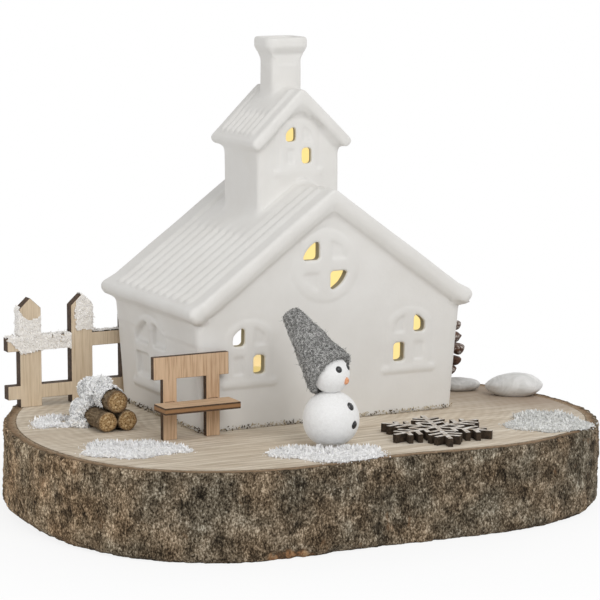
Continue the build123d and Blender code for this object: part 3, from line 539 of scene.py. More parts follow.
def plywood(name, axis, face, streak, along, core=None):
    """Laser-cut ply: grained veneer across one axis, burnt cut edges, paler at its core if one is given."""
    finish = Finish(name, 0.7, 0.25)
    stretch = [14.0 if letter == along else 0.5 for letter in "XYZ"]
    grain = finish.noise(1.0, 4.0, 0.6, 0.4, where=finish.place(stretch=stretch))
    cloud = finish.noise(9.0, 2.0)
    veneer = finish.ramp(grain, (0.32, streak), (0.52, face), (0.75, tuple(min(1, 1.12 * c) for c in face)))
    veneer = finish.mix(finish.band(cloud, 0.4, 0.8) * 0.3, veneer, streak)
    char = finish.noise(1.3)
    edge = finish.ramp(char, (0.3, tuple(0.5 * c for c in BURNT)), (0.7, tuple(1.6 * c for c in BURNT)))
    if core:
        colour, middle, half = core
        off = abs(finish.part(finish.place(at=middle), axis)) + (char - 0.5) * 0.6
        edge = finish.mix(finish.band(off, 0.35 * half, 0.6 * half), colour, edge)
    across = finish.band(abs(finish.normal(axis)), 0.72, 0.97)
    finish.set("Base Color", finish.mix(across, edge, veneer))
    finish.bump(grain, 0.08)
    return finish.material


def whitewashed_flake():
    finish = Finish("whitewashed_ply", 0.75, 0.25)
    wash = finish.noise(1.6, 4.0, 0.65)
    top = finish.ramp(
        wash, (0.34, (0.27, 0.20, 0.14)), (0.47, (0.50, 0.45, 0.39)), (0.6, (0.72, 0.69, 0.65)))
    edge = finish.ramp(finish.noise(1.1), (0.3, (0.012, 0.009, 0.006)), (0.7, (0.065, 0.043, 0.026)))
    finish.set("Base Color", finish.mix(finish.band(finish.normal("Z"), 0.6, 0.9), edge, top))
    finish.bump(wash, 0.1)
    return finish.material


def snow(name, dull, bright, even=0.8):
    """Loose flakes, each a little whiter or greyer than the next, over a duller bed."""
    finish = Finish(name, 0.5, 0.5)
    finish.set("Base Color", finish.ramp(finish.attribute("shade"), (0.0, dull), (even, bright)))
    finish.soften((0.0012, 0.0012, 0.0013))
    finish.bump(finish.noise(0.8), 0.25)
    return finish.material


def cotton():
    finish = Finish("pressed_cotton", 0.9, 0.15)
    return finish.speckle(finish.noise(0.8, 5.0, 0.7, 0.8), (0.79, 0.785, 0.775), (0.88, 0.88, 0.875), 0.14)


def felt():
    finish = Finish("melange_felt", 0.95, 0.1)
    wool = finish.noise(0.7, 4.0, 0.75, 1.5)
    finish.set("Base Color", finish.ramp(
        wool, (0.36, (0.05, 0.05, 0.048)), (0.5, (0.25, 0.246, 0.236)), (0.63, (0.62, 0.62, 0.6))))
    finish.set("Sheen Weight", 0.3)
    finish.set("Sheen Roughness", 0.5)
    finish.bump(wool, 0.35)
    return finish.material


def felt_fibre():
    """Loose fibres, each its own grey."""
    finish = Finish("felt_fibre", 0.9, 0.15)
    finish.set("Base Color", finish.ramp(
        finish.attribute("shade"), (0.0, (0.045, 0.045, 0.043)), (0.45, (0.25, 0.247, 0.237)),
        (0.7, (0.64, 0.635, 0.62)), (1.0, (0.95, 0.945, 0.93))))
    return finish.material


def twig_bark():
    finish = Finish("twig_bark", 0.9, 0.15)
    fleck = finish.noise(0.9, 4.0, 0.7, 0.5, where=finish.place(stretch=(1, 3, 1)))
    finish.set("Base Color", finish.ramp(
        fleck, (0.3, (0.045, 0.032, 0.02)), (0.5, (0.15, 0.105, 0.062)), (0.72, (0.36, 0.28, 0.18))))
    finish.bump(fleck, 0.3)
    return finish.material


def twig_end(middle):
    """Sawn twig: torn rings in orange and straw about its own middle."""
    finish = Finish("twig_end", 0.85, 0.2)
    around = finish.place(at=middle, stretch=(1, 40, 1))
    distance = finish.length(around)
    wander = finish.noise(1.6, 4.0, 0.7, where=around)
    ring = finish.math("SINE", distance * 5.0 + wander * 9.0)
    grain = finish.band(finish.noise(0.55, 3.0, 0.7, where=around), 0.32, 0.68)
    level = finish.band(ring, -1, 1) * 0.22 + grain * 0.78
    tone = finish.ramp(
        level, (0.15, (0.10, 0.058, 0.025)), (0.45, (0.35, 0.215, 0.095)), (0.7, (0.52, 0.37, 0.19)),
        (0.95, (0.72, 0.60, 0.40)))
    finish.set("Base Color", finish.mix(finish.band(distance, 2.7, 3.5), tone, (0.17, 0.105, 0.055)))
    finish.bump(wander, 0.4)
    return finish.material


def cone_scale():
    """Dark brown scales, frosted in places at their tips."""
    finish = Finish("pine_cone_scale", 0.75, 0.3)
    grain = finish.noise(1.2, 4.0, 0.65)
    brown = finish.ramp(grain, (0.3, (0.035, 0.018, 0.012)), (0.7, (0.17, 0.082, 0.05)))
    frost = finish.band(finish.attribute("tip"), 0.45, 0.85) * finish.band(grain, 0.46, 0.62)
    frost = frost * finish.band(finish.noise(7.0, 1.0), 0.48, 0.56)
    finish.set("Base Color", finish.mix(frost, brown, (0.55, 0.52, 0.48)))
    finish.bump(grain, 0.2)
    return finish.material


def pebble(name, low, high):
    finish = Finish(name, 0.38, 0.45)
    finish.set("Base Color", finish.ramp(finish.noise(6.0, 4.0, 0.6, 1.2), (0.3, low), (0.6, high)))
    finish.soften((0.003, 0.003, 0.003))
    finish.bump(finish.noise(0.9), 0.05)
    return finish.material


def black_paint():
    finish = Finish("black_bead", 0.22, 0.5)
    return finish.speckle(finish.noise(0.6, 2.0), (0.006, 0.006, 0.007), (0.02, 0.02, 0.021), 0.02)


def orange_nose():
    finish = Finish("orange_nose", 0.6, 0.3)
    return finish.speckle(finish.noise(0.7), (0.52, 0.19, 0.08), (0.85, 0.44, 0.25), 0.05)


def dark_grit():
    finish = Finish("dark_grit", 0.9, 0.2)
    return finish.speckle(finish.noise(1.0, 2.0), (0.02, 0.016, 0.01), (0.16, 0.12, 0.07), start=0.35)


def crumbs():
    finish = Finish("pale_crumbs", 0.85, 0.2)
    return finish.speckle(finish.noise(0.9, 2.0), (0.34, 0.27, 0.16), (0.62, 0.56, 0.44), start=0.35)


def moulded(name, low, high, roughness):
    """Moulded plastic with a fine spark-eroded texture."""
    finish = Finish(name, roughness, 0.45)
    finish.speckle(finish.noise(0.5), low, high, 0.02)
    return finish


def flame_plastic():
    finish = moulded("frosted_flame", (0.90, 0.72, 0.42), (0.95, 0.80, 0.52), 0.35)
    finish.set("Transmission Weight", 0.3)
    finish.glow((1.0, 0.66, 0.22, 1), 0.9)
    return finish.material


def led_epoxy():
    finish = moulded("led_epoxy", (0.95, 0.80, 0.45), (1.0, 0.86, 0.55), 0.15)
    finish.glow((1.0, 0.62, 0.18, 1), 4.0)
    return finish.material


def metal(name, low, high, roughness):
    finish = moulded(name, low, high, roughness)
    finish.set("Metallic", 1.0)
    return finish.material


# Copies set by geometry nodes

class Growth(Wiring):
    """A geometry node tree with named inputs that sets copies of a shape and gives them a finish."""

    def __init__(self, name, **inputs):
        super().__init__(bpy.data.node_groups.new(name, "GeometryNodeTree"))
        for label, kind in inputs.items():
            self.tree.interface.new_socket(label, in_out="INPUT", socket_type="NodeSocket" + kind)
        self.tree.interface.new_socket("Geometry", in_out="OUTPUT", socket_type="NodeSocketGeometry")
        self.given = self.node("NodeGroupInput").outputs

    def chance(self, low, high, seed):
        """A random number for each point or copy."""
        return self.value("FunctionNodeRandomValue", {2: low, 3: high, "Seed": seed}, 1, data_type="FLOAT")

    def copies(self, points, turn, size):
        shape = self.value("GeometryNodeObjectInfo", {"Object": self.given["Shape"]}, "Geometry")
        inputs = {"Points": points, "Instance": shape, "Rotation": turn, "Scale": size}
        return self.value("GeometryNodeInstanceOnPoints", inputs, "Instances")

    def ended(self, copies):
        """The tree, ended in real faces with their finish."""
        real = self.value("GeometryNodeRealizeInstances", {"Geometry": copies}, "Geometry")
        inputs = {"Geometry": real, "Material": self.given["Finish"]}
        self.node("NodeGroupOutput", {"Geometry": self.value("GeometryNodeSetMaterial", inputs, "Geometry")})
        return self.tree


def scatter_tree(name, follow_normal):
    """Strews copies over a surface, each with its own turn, size and shade."""
    grow = Growth(
        name, Surface="Geometry", Shape="Object", Density="Float", Smallest="Float", Largest="Float",
        Lift="Float", Tilt="Float", Seed="Int", Finish="Material")
    given = grow.given
    spread = {"Mesh": given["Surface"], "Density": given["Density"], "Seed": given["Seed"]}
    points = grow.node("GeometryNodeDistributePointsOnFaces", spread).outputs
    rise = grow.vector(0.0, 0.0, grow.chance(0.0, 1.0, 3) * given["Lift"])
    moved = grow.value("GeometryNodeSetPosition", {"Geometry": points["Points"], "Offset": rise}, "Geometry")
    if follow_normal:
        lean = grow.vector(given["Tilt"], 0.0, grow.chance(-pi, pi, 7))
        inputs = {"Rotation": points["Rotation"], "Rotate By": lean}
        turn = grow.value("FunctionNodeRotateRotation", inputs, "Rotation", rotation_space="LOCAL")
    else:
        inputs = {0: (-pi, -pi, -pi), 1: (pi, pi, pi), "Seed": 7}
        turn = grow.value("FunctionNodeRandomValue", inputs, 0, data_type="FLOAT_VECTOR")
    copies = grow.copies(moved, turn, grow.chance(given["Smallest"], given["Largest"], 5))
    inputs = {"Geometry": copies, "Name": "shade", "Value": grow.chance(0.0, 1.0, 11)}
    shaded = grow.value(
        "GeometryNodeStoreNamedAttribute", inputs, "Geometry", data_type="FLOAT", domain="INSTANCE")
    return grow.ended(shaded)


def cone_tree():
    """Sets scales in a spiral from the cone's foot to its tip."""
    grow = Growth(
        "cone_spiral", Geometry="Geometry", Shape="Object", Count="Int", Radius="Float", Height="Float",
        Turn="Float", Middle="Vector", Finish="Material")
    given = grow.given
    index = grow.value("GeometryNodeInputIndex")
    share = grow.math("DIVIDE", index, given["Count"])
    angle = index * CONE_SPIRAL + given["Turn"]
    bulge = share - 0.55
    spread = (1.0 - bulge * bulge * 2.4) * given["Radius"]
    root = spread * 0.22
    height = (share * 0.83 + 0.02) * given["Height"]
    at = grow.vector(root * grow.math("COSINE", angle), root * grow.math("SINE", angle), height)
    inputs = {"Count": given["Count"], "Position": grow.vector_math("ADD", at, given["Middle"])}
    points = grow.value("GeometryNodePoints", inputs)
    steep, opening = CONE_DROOP
    turn = grow.vector(0.0, steep - share * opening, angle)
    return grow.ended(grow.copies(points, turn, spread * 0.8))


def grown(piece, tree, values):
    """Runs a tree on a piece with values for its named inputs, and keeps what it makes as a plain mesh."""
    growth = piece.modifiers.new("growth", "NODES")
    growth.node_group = tree
    for item in tree.interface.items_tree:
        if item.in_out == "INPUT" and item.name in values:
            growth[item.identifier] = values[item.name]
    return made_plain(piece)


def strewn(name, surface, shape, tree, slot, density, sizes, material, seed, lift=0.0, tilt=0.0):
    """Copies of a shape over a surface, so many to the square metre, in millimetres and degrees."""
    smallest, largest = sizes
    piece = grown(new_piece(name, surface), tree, {
        "Shape": shape, "Density": density, "Smallest": smallest * MM, "Largest": largest * MM,
        "Lift": lift * MM, "Tilt": radians(tilt), "Seed": seed, "Finish": material})
    return dress(piece, "slice", slot)


def crystal():
    """Thin pointed shard, about one unit long."""
    points = [
        (-0.5, 0, 0), (0.5, 0.05, 0), (0.05, 0.26, 0.02), (0.0, -0.24, -0.02), (0.08, 0, 0.11),
        (-0.05, 0, -0.1)]
    faces = [(0, 3, 4), (3, 1, 4), (1, 2, 4), (2, 0, 4), (3, 0, 5), (1, 3, 5), (2, 1, 5), (0, 2, 5)]
    return new_piece("shard_shape", mesh_of("shard_shape", points, faces, False))


def blade():
    """Pointed flake that stands up from its foot, about one unit tall."""
    points = [
        (-0.2, 0.06, -0.1), (0.2, 0.03, -0.1), (0, -0.09, -0.1), (-0.24, 0.02, 0.45), (0.17, 0.05, 0.5),
        (0, -0.07, 0.45), (-0.05, 0.04, 1.0)]
    faces = [(3, 4, 1, 0), (4, 5, 2, 1), (5, 3, 0, 2), (6, 4, 3), (6, 5, 4), (6, 3, 5), (0, 1, 2)]
    return new_piece("blade_shape", mesh_of("blade_shape", points, faces, False))


def fibre(name, thick):
    """Three-sided strand that rises from the surface and bends over, about one unit long."""
    points = []
    for i, (x, y, z) in enumerate(((0, 0, -0.05), (0.02, 0, 0.3), (0.1, 0, 0.6), (0.3, 0.05, 0.85))):
        radius = thick * (1 - 0.22 * i)
        for k in range(3):
            angle = 2 * pi * k / 3
            points.append((x + radius * cos(angle), y + radius * sin(angle), z))
    faces = [(0, 2, 1), (9, 10, 11)]
    for i in range(0, 9, 3):
        for k in range(3):
            m = (k + 1) % 3
            faces.append((i + k, i + m, i + 3 + m, i + 3 + k))
    return new_piece(name, mesh_of(name, points, faces))


TUMBLED = scatter_tree("strew_tumbled", False)
COMBED = scatter_tree("strew_along_surface", True)
SHARD = crystal()
BLADE = blade()
STRAND = fibre("strand_shape", 0.085)
WISP = fibre("wisp_shape", 0.03)


# House

def between(values, low, high):
    """Which values lie between two numbers of millimetres."""
    return (values > low * MM) & (values < high * MM)


def house_place(points):
    """House coordinates of points, and how far each lies below the underside of the main and tower roofs."""
    x, y, z = (points - np.array(HOUSE_AT)).T
    main = (WALL_HEIGHT + (HOUSE_WIDTH / 2 - np.abs(x)) * ROOF_SLOPE - z) / sqrt(1 + ROOF_SLOPE ** 2)
    beside = np.abs(x - TOWER_AT[0])
    tower = (TOWER_WALL_HEIGHT + (TOWER_WIDTH / 2 - beside) * TOWER_SLOPE - z) / sqrt(1 + TOWER_SLOPE ** 2)
    return x, y, z, main, tower


def inside_casting(points):
    """Which points lie on the casting's inner faces."""
    x, y, z, main, tower = house_place(points)
    slack = 0.45 * MM
    inset = WALL + WALL_FLARE * np.clip(1 - z / WALL_HEIGHT, 0, 1) - slack
    room = (np.abs(x) < HOUSE_WIDTH / 2 - inset) & (y > inset) & (y < HOUSE_DEPTH - inset) & (main > -slack)
    away = TOWER_WALL - slack
    back = TOWER_AT[1] + TOWER_DEPTH
    loft = (np.abs(x - TOWER_AT[0]) < TOWER_WIDTH / 2 - away) & (y > TOWER_AT[1] + away) & (y < back - away)
    return room | (loft & (tower > -slack) & (z > WALL_HEIGHT))


def cove_share(points, normals):
    """How far the slip fills each outer corner: most under the tower's roof, less under the main roof."""
    x, y, z, main, tower = house_place(points)
    under = normals[:, 2] < 0.3
    across = np.abs(x - TOWER_AT[0])
    along = np.abs(y - (TOWER_AT[1] + TOWER_DEPTH / 2))
    beside = between(np.maximum(across - TOWER_WIDTH / 2, along - TOWER_DEPTH / 2), -1.5, 8)
    stack = between(np.maximum(across - CHIMNEY[0] / 2, along - CHIMNEY[1] / 2), -1, 5)
    on_roof = -main - ROOF_THICKNESS
    on_tower = -tower - TOWER_ROOF_THICKNESS
    share = np.zeros(len(points))
    gable_end = (y < 1.2 * MM) | (y > HOUSE_DEPTH - 1.2 * MM)
    verge = under & gable_end & between(main, -6, COVE_REACH)
    share[verge] = 1 - np.clip(main[verge], 0, None) / (COVE_REACH * MM)
    share[under & (np.abs(x) > HOUSE_WIDTH / 2 - CORNER) & between(z, 27, 46)] = 0.5
    share[beside & between(on_roof, -1.5, 7)] = 0.4
    pane = (across < TOWER_PANES[0]) & (z < TOWER_PANES[1]) & (y < TOWER_AT[1] + 5 * MM)
    share[beside & under & ~pane & between(tower, -5, COVE_REACH) & (z > 70 * MM)] = 1.0
    share[stack & between(on_tower, -1.5, 6)] = 0.6
    share[stack & under & between(z, 120, 129)] = 0.6
    return share


def pull_of(place, pairs):
    """From each point to the mean of its neighbours."""
    count = len(place)
    first, second = pairs
    links = np.bincount(first, minlength=count) + np.bincount(second, minlength=count)
    total = np.empty_like(place)
    for axis in range(3):
        along = place[:, axis]
        total[:, axis] = np.bincount(first, along[second], count) + np.bincount(second, along[first], count)
    return np.where(links[:, None] > 0, total / np.maximum(links, 1)[:, None] - place, 0)


def fill_verge(place):
    """Thickens the slip in the corner under the front verge, most against the wall."""
    x, y, _, main, _ = house_place(place)
    deep = np.clip(y / VERGE + 1, 0, 1) * (y < 0.6 * MM)
    near = np.exp(-(main / (3 * MM)) ** 2) * (main > -CORNER)
    fall = VERGE_FILL * deep * near / sqrt(1 + ROOF_SLOPE ** 2)
    place[:, 2] -= fall
    place[:, 0] -= fall * ROOF_SLOPE * np.clip(x / (5 * MM), -1, 1)


def flare_cap(place):
    """Draws the foot of the chimney's cap in to the stack, so that it flares upwards."""
    x, y, z, _, _ = house_place(place)
    low, high = CAP_FLARE
    drawn = (1 - np.clip((z - low) / (high - low), 0.1, 1)) * (z > low - 3 * MM)
    offsets = (x - TOWER_AT[0], y - TOWER_AT[1] - TOWER_DEPTH / 2)
    for axis, off in enumerate(offsets):
        place[:, axis] -= drawn * np.sign(off) * np.clip(np.abs(off) - CHIMNEY[axis] / 2, 0, None)


def calm_relief(place):
    """Draws the frames and blind panes of the front towards their walls, as soft as the cast leaves them."""
    x, y, z, main, tower = house_place(place)
    on_gable = (np.abs(x) < HOUSE_WIDTH / 2 - WALL) & (main > CORNER)
    on_tower = (np.abs(x - TOWER_AT[0]) < TOWER_WIDTH / 2 - CORNER) & (tower > CORNER)
    on_tower &= main < -ROOF_THICKNESS - CORNER
    wall = np.where(on_tower, TOWER_AT[1], WALL_FLARE * np.clip(1 - z / WALL_HEIGHT, 0, 1))
    off = y - wall
    kept = RELIEF + (1 - RELIEF) * np.clip((np.abs(off) - 1.2 * MM) / (0.8 * MM), 0, 1)
    near = (on_gable | on_tower) & (np.abs(off) < 2 * MM)
    place[near, 1] = (HOUSE_AT[1] + wall + kept * off)[near]


def soften_casting(mesh):
    """Rounds a voxel casting as slip does: fills its outer corners, then evens its skin at the same size."""
    count = len(mesh.vertices)
    place = np.empty((count, 3))
    normals = np.empty((count, 3))
    pairs = np.empty((len(mesh.edges), 2), np.int32)
    mesh.vertices.foreach_get("co", place.ravel())
    mesh.edges.foreach_get("vertices", pairs.ravel())
    pairs = pairs.T

    def settle():
        mesh.vertices.foreach_set("co", place.ravel())
        mesh.update()
        mesh.vertices.foreach_get("normal", normals.ravel())

    def even(rounds):
        nonlocal place
        for _ in range(rounds):
            for step in (0.5, -0.52):
                place = place + step * pull_of(place, pairs)

    even(3)
    settle()
    share = cove_share(place, normals)
    near = pairs[:, (share[pairs[0]] > 0) | (share[pairs[1]] > 0)]
    for turn in range(COVE_ROUNDS):
        rise = np.clip((pull_of(place, near) * normals).sum(1), 0, None) * share
        place = place + 0.5 * rise[:, None] * normals
        if turn % 20 == 19:
            settle()
    even(CASTING_SOFTENING)
    settle()
    fill_verge(place)
    flare_cap(place)
    calm_relief(place)
    x, _, z, _, _ = house_place(place)
    eave = np.clip((np.abs(x) - HOUSE_WIDTH / 2 + CORNER) / (5 * MM), 0, 1) * between(z, 30, 50)
    place = place + normals * (EAVE_SWELL * eave)[:, None]
    place[:, 0] += SIDE_SWELL * np.clip((x - HOUSE_WIDTH / 2) / (6 * MM) + 1, 0, 1) * (z < WALL_HEIGHT)
    settle()
    wave = np.array([grit(p, 16 * MM) for p in place])
    place = place + normals * (CASTING_WAVE * wave)[:, None]
    settle()


def house(outside, inside):
    """The casting, softened as slip leaves it, with a painted glow on its inner faces."""
    piece = recast("house_casting", "ceramic_house", CASTING_GRAIN)
    soften_casting(piece.data)
    triangles = sum(len(p.vertices) - 2 for p in piece.data.polygons)
    thin = piece.modifiers.new("thin", "DECIMATE")
    thin.ratio = min(1.0, CASTING_FACES / triangles)
    made_plain(piece)
    piece.data.shade_smooth()
    paint(piece, outside, inside)
    centres = np.empty((len(piece.data.polygons), 3))
    piece.data.polygons.foreach_get("center", centres.ravel())
    piece.data.polygons.foreach_set("material_index", inside_casting(centres).astype(np.int32))
    dress(piece, "house", "ceramic", "ceramic_house")


def foot_grit(dark, pale):
    """Broken line of dark and pale grains along the foot of the walls."""
    half = HOUSE_WIDTH / 2 - WALL_FLARE
    left, right = HOUSE_AT[0] - half, HOUSE_AT[0] + half
    front, back = HOUSE_AT[1] + WALL_FLARE, HOUSE_AT[1] + HOUSE_DEPTH - WALL_FLARE
    corners = ((left, back), (left, front), (right, front), (right, back))
    strips = {"dark": ([], []), "pale": ([], [])}
    for (x0, y0), (x1, y1) in zip(corners, corners[1:]):
        run = Vector((x1 - x0, y1 - y0, 0))
        ahead = run.normalized()
        out = Vector((ahead.y, -ahead.x, 0)) * FOOT_STRIP
        for i in range(int(run.length / FOOT_STEP)):
            at = Vector((x0, y0, HOUSE_AT[2] + 0.05 * MM)) + ahead * (i * FOOT_STEP)
            level = grit(at, 3.1 * MM) + 0.5 * grit(at, 1.1 * MM)
            points, faces = strips["dark" if level > 0.1 else "pale"]
            faces.append(range(len(points), len(points) + 4))
            points += [at, at + out, at + ahead * FOOT_STEP + out, at + ahead * FOOT_STEP]
    for name, material, seed in (("dark", dark, 5), ("pale", pale, 6)):
        strip = mesh_of("foot_strip_" + name, *strips[name], False)
        grains = "house_foot_grit_" + name
        strewn(grains, strip, SHARD, TUMBLED, "bark", 3.2e6, (0.5, 1.3), material, seed, 1.6)


# Slice

def rim_radius(node, angles):
    """Outer radius of a node's upright faces at each of some bearings."""
    mesh = NODES[node].data
    found = {}
    for polygon in mesh.polygons:
        outward = polygon.normal.x * polygon.center.x + polygon.normal.y * polygon.center.y
        if abs(polygon.normal.z) < 0.3 and outward > 0:
            for index in polygon.vertices:
                point = mesh.vertices[index].co
                found[round(atan2(point.y, point.x), 5)] = sqrt(point.x ** 2 + point.y ** 2)
    bearings = sorted(found)
    return np.interp(angles, bearings, [found[b] for b in bearings], period=2 * pi)


def bark_relief(at, up, edge, wear):
    """How far the bark stands out at a place, in millimetres, and how much of it is chipped away."""
    stretched = Vector((at.x, at.y, at.z * 0.6))
    rough = 0.55 + 0.75 * grit(stretched, 8 * MM) + 0.5 * grit(stretched, 2.6 * MM)
    rough += 0.42 * grit(at, 1.0 * MM)
    ragged = max(0.0, 1 - edge / BARK_EDGE)
    rough -= ragged * (0.35 + 1.5 * max(0.0, grit(at, 4 * MM)))
    rough -= max(0.0, wear - up / MM)
    away = at - Vector(BARK_CHIP_AT)
    off = (away.xy.length / BARK_CHIP_SIZE[0]) ** 2 + (away.z / BARK_CHIP_SIZE[1]) ** 2
    bite = max(0.0, 1 - off + 0.9 * grit(at, 2.4 * MM))
    bite = min(1.0, 1.6 * bite) if off < 1.6 else 0.0
    return rough - 0.7 * bite, bite


def bark_ring(material):
    """Ring of rough bark, ragged at its sawn edges, chipped to the inner bark at the front."""
    low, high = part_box("bark_rim")
    height = high.z - low.z
    angles = np.linspace(-pi, pi, BARK_AROUND, endpoint=False)
    outer = rim_radius("bark_rim", angles)
    inner = rim_radius("wood_slice", angles)
    worn = np.interp(np.degrees(angles) % 360, *zip(*BARK_WORN))
    section = [(0.0, k / (BARK_UP - 1)) for k in range(BARK_UP)]
    section += [(depth, 1.0) for depth in (0.12, 0.3, 0.5, 0.75, 1.0)]
    section += [(1.0, 0.5), (1.0, 0.0), (0.6, 0.0), (0.2, 0.0)]
    points, depths, chips = [], [], []
    for angle, far, near, wear in zip(angles, outer, inner, worn):
        direction = Vector((cos(angle), sin(angle), 0))
        for depth, share in section:
            z = low.z + share * height
            radius = far + depth * (near - far)
            bite = 0.0
            if depth < 0.9:
                at = direction * far + Vector((0, 0, z))
                rough, bite = bark_relief(at, z - low.z, min(z - low.z, high.z - z), wear)
                radius = max(radius + rough * MM * (1 - depth), near + BARK_LEAST)
                if depth and share == 1.0:
                    z += 0.2 * MM * (grit(at, 1.2 * MM) - 0.4) * (1 - depth)
            points.append(direction * radius + Vector((0, 0, min(z, high.z - BARK_DROP))))
            depths.append(depth)
            chips.append(bite)
    mesh = mesh_of("bark_ring", points, ring_faces(BARK_AROUND, len(section), closed=True))
    mark(mesh, "bark_depth", depths)
    mark(mesh, "bark_chip", chips)
    piece = new_piece("bark_ring", mesh)
    paint(piece, material)
    dress(piece, "slice", "bark", "bark_rim")


# Fence, bench and snowflake

def cut_ply(name, node, slot, material, bevel):
    """A laser-cut piece with its edges just broken."""
    mesh = joined_copy(node, name)
    with opened(mesh) as shape:
        bmesh.ops.dissolve_limit(shape, angle_limit=radians(1), verts=shape.verts, edges=shape.edges)
    piece = new_piece(name, mesh)
    edge = piece.modifiers.new("edge", "BEVEL")
    edge.width = bevel * MM
    edge.segments = 2
    edge.limit_method = "ANGLE"
    made_plain(piece)
    paint(piece, material)
    dress(piece, "slice", slot, node)


# Twigs

def twig(name, node, bark_finish, end_finish):
    """Cut twig along Y: rough bark round a sawn, slightly torn end at each side."""
    middle, size = middle_of(node)
    radius = size.x / 2
    section = [(-0.5, k / TWIG_RINGS) for k in range(TWIG_RINGS)]
    section += [(-0.5 + j / (TWIG_ALONG - 1), 1.0) for j in range(TWIG_ALONG)]
    section += [(0.5, 1 - (k + 1) / TWIG_RINGS) for k in range(TWIG_RINGS)]
    points = []
    for i in range(TWIG_AROUND):
        angle = 2 * pi * i / TWIG_AROUND
        direction = Vector((cos(angle), 0, sin(angle)))
        for share, out in section:
            at = middle + direction * radius + Vector((0, share * size.y, 0))
            rough = -0.22 + 0.28 * grit((at.x, at.y * 0.4, at.z), 2.6 * MM) + 0.2 * grit(at, 0.9 * MM)
            torn = 0.3 * grit(middle + direction * radius * out, 1.1 * MM) if abs(share) == 0.5 else 0.0
            place = middle + direction * (out * (radius + rough * MM))
            place.y = middle.y + share * (size.y - 0.7 * MM) + torn * MM
            points.append(place)
    piece = new_piece(name, mesh_of(name, points, ring_faces(TWIG_AROUND, len(section))))
    with opened(piece.data) as shape:
        bmesh.ops.remove_doubles(shape, verts=shape.verts, dist=0.01 * MM)
        bmesh.ops.recalc_face_normals(shape, faces=shape.faces)
    piece.data.shade_smooth()
    paint(piece, bark_finish, end_finish)
    for polygon in piece.data.polygons:
        polygon.material_index = int(abs(polygon.normal.y) > 0.75)
    return dress(piece, "slice", "twig", node)


# Snowman

def lumpy_ball(name, middle, size, lump, fine, levels, floor, seed):
    """Ball of three radii with soft lumps, flattened where it stands."""
    offset = Vector((seed, 2 * seed, 3 * seed))
    mesh = bpy.data.meshes.new(name)
    with opened(mesh) as shape:
        bmesh.ops.create_icosphere(shape, subdivisions=levels, radius=1.0)
        for vert in shape.verts:
            direction = vert.co.normalized()
            swell = 1 + lump * noise.noise(direction * 1.4 + offset)
            swell += fine * noise.noise(direction * 9 + offset)
            place = middle + Vector([along * radius for along, radius in zip(direction, size)]) * swell
            place.z = max(place.z, floor)
            vert.co = place
    mesh.shade_smooth()
    return new_piece(name, mesh)


def ball_middle(node, flat=0.0):
    """Middle and radius of a cotton ball, cut flat under its foot by some height, or whole at its top."""
    low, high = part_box(node)
    radius = (high.x - low.x) / 2
    level = low.z + radius - flat if flat else high.z - radius
    return Vector(((low.x + high.x) / 2, (low.y + high.y) / 2, level)), radius


def ball(name, node, material, flat=0.0):
    """Ball of pressed cotton."""
    low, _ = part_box(node)
    middle, radius = ball_middle(node, flat)
    piece = lumpy_ball(name, middle, [radius - 0.05 * MM] * 3, 0.012, 0.006, 6, low.z, 3.0)
    paint(piece, material)
    dress(piece, "slice", "cotton", node)


def hat(material, fibre_material):
    """Felt cone pulled over the head, its slanting cut brim showing its thickness, with loose fibres."""
    middle, _ = ball_middle("snowman_head")
    turn = Matrix.Rotation(HAT_BEARING, 3, "Z") @ Matrix.Rotation(HAT_LEAN, 3, "Y")
    brim_turn = turn.transposed() @ Matrix.Rotation(BRIM_BEARING, 3, "Z")
    cut = brim_turn @ Matrix.Rotation(BRIM_LEAN, 3, "Y") @ Vector((0, 0, 1))
    slope = (HAT_BRIM - HAT_TIP) / HAT_LENGTH
    section = [(share, HAT_FELT) for share in (0.3, 0.2, 0.1, 0.02)]
    section += [(0.0, 0.75 * HAT_FELT), (0.0, 0.3 * HAT_FELT)]
    section += [(share, 0.0) for share in np.linspace(0.02, 0.96, HAT_UP)]
    crown = ((0.98, 0.03), (0.992, 0.12), (0.998, 0.3), (1.0, 0.65))
    section += [(share, inset * HAT_TIP) for share, inset in crown]
    points = []
    for i in range(HAT_AROUND):
        angle = 2 * pi * i / HAT_AROUND
        foot = -(cut.x * cos(angle) + cut.y * sin(angle)) * HAT_BRIM / cut.z
        for share, inset in section:
            height = foot + share * (HAT_LENGTH - foot)
            radius = HAT_BRIM - slope * height - inset
            at = Vector((radius * cos(angle), radius * sin(angle), height))
            radius += (0.4 * grit(at, 6 * MM) + 0.18 * grit(at, 1.6 * MM) - 0.5) * MM
            if share < 0.05:
                height += 0.4 * MM * grit((cos(angle) * MM, sin(angle) * MM, 0), 0.4 * MM)
            points.append(middle + turn @ Vector((cos(angle) * radius, sin(angle) * radius, height)))
    points.append(middle + turn @ Vector((0, 0, HAT_LENGTH)))
    mesh = mesh_of("snowman_felt_hat", points, ring_faces(HAT_AROUND, len(section), tip=len(points) - 1))
    shell = new_piece("snowman_felt_hat", mesh)
    for name, shape, density, sizes, seed, tilt in (
            ("snowman_hat_fibres", STRAND, 6e6, (0.5, 1.25), 3, 78),
            ("snowman_hat_strays", WISP, 1.2e5, (1.2, 2.6), 9, 50)):
        strewn(name, mesh.copy(), shape, COMBED, "felt", density, sizes, fibre_material, seed, tilt=tilt)
    paint(shell, material)
    dress(shell, "slice", "felt", "snowman_hat")


# Snow

def outline_of(node):
    """Points along a drift's upper edge, close together."""
    _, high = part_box(node)
    found = []
    with opened(joined_copy(node, node + "_outline")) as shape:
        for edge in shape.edges:
            upper = all(v.co.z > high.z - 0.01 * MM for v in edge.verts)
            if upper and any(abs(f.normal.z) < 0.5 for f in edge.link_faces):
                first, second = (v.co.xy for v in edge.verts)
                found += [first.lerp(second, k / 6) for k in range(6)]
    return np.array(found)


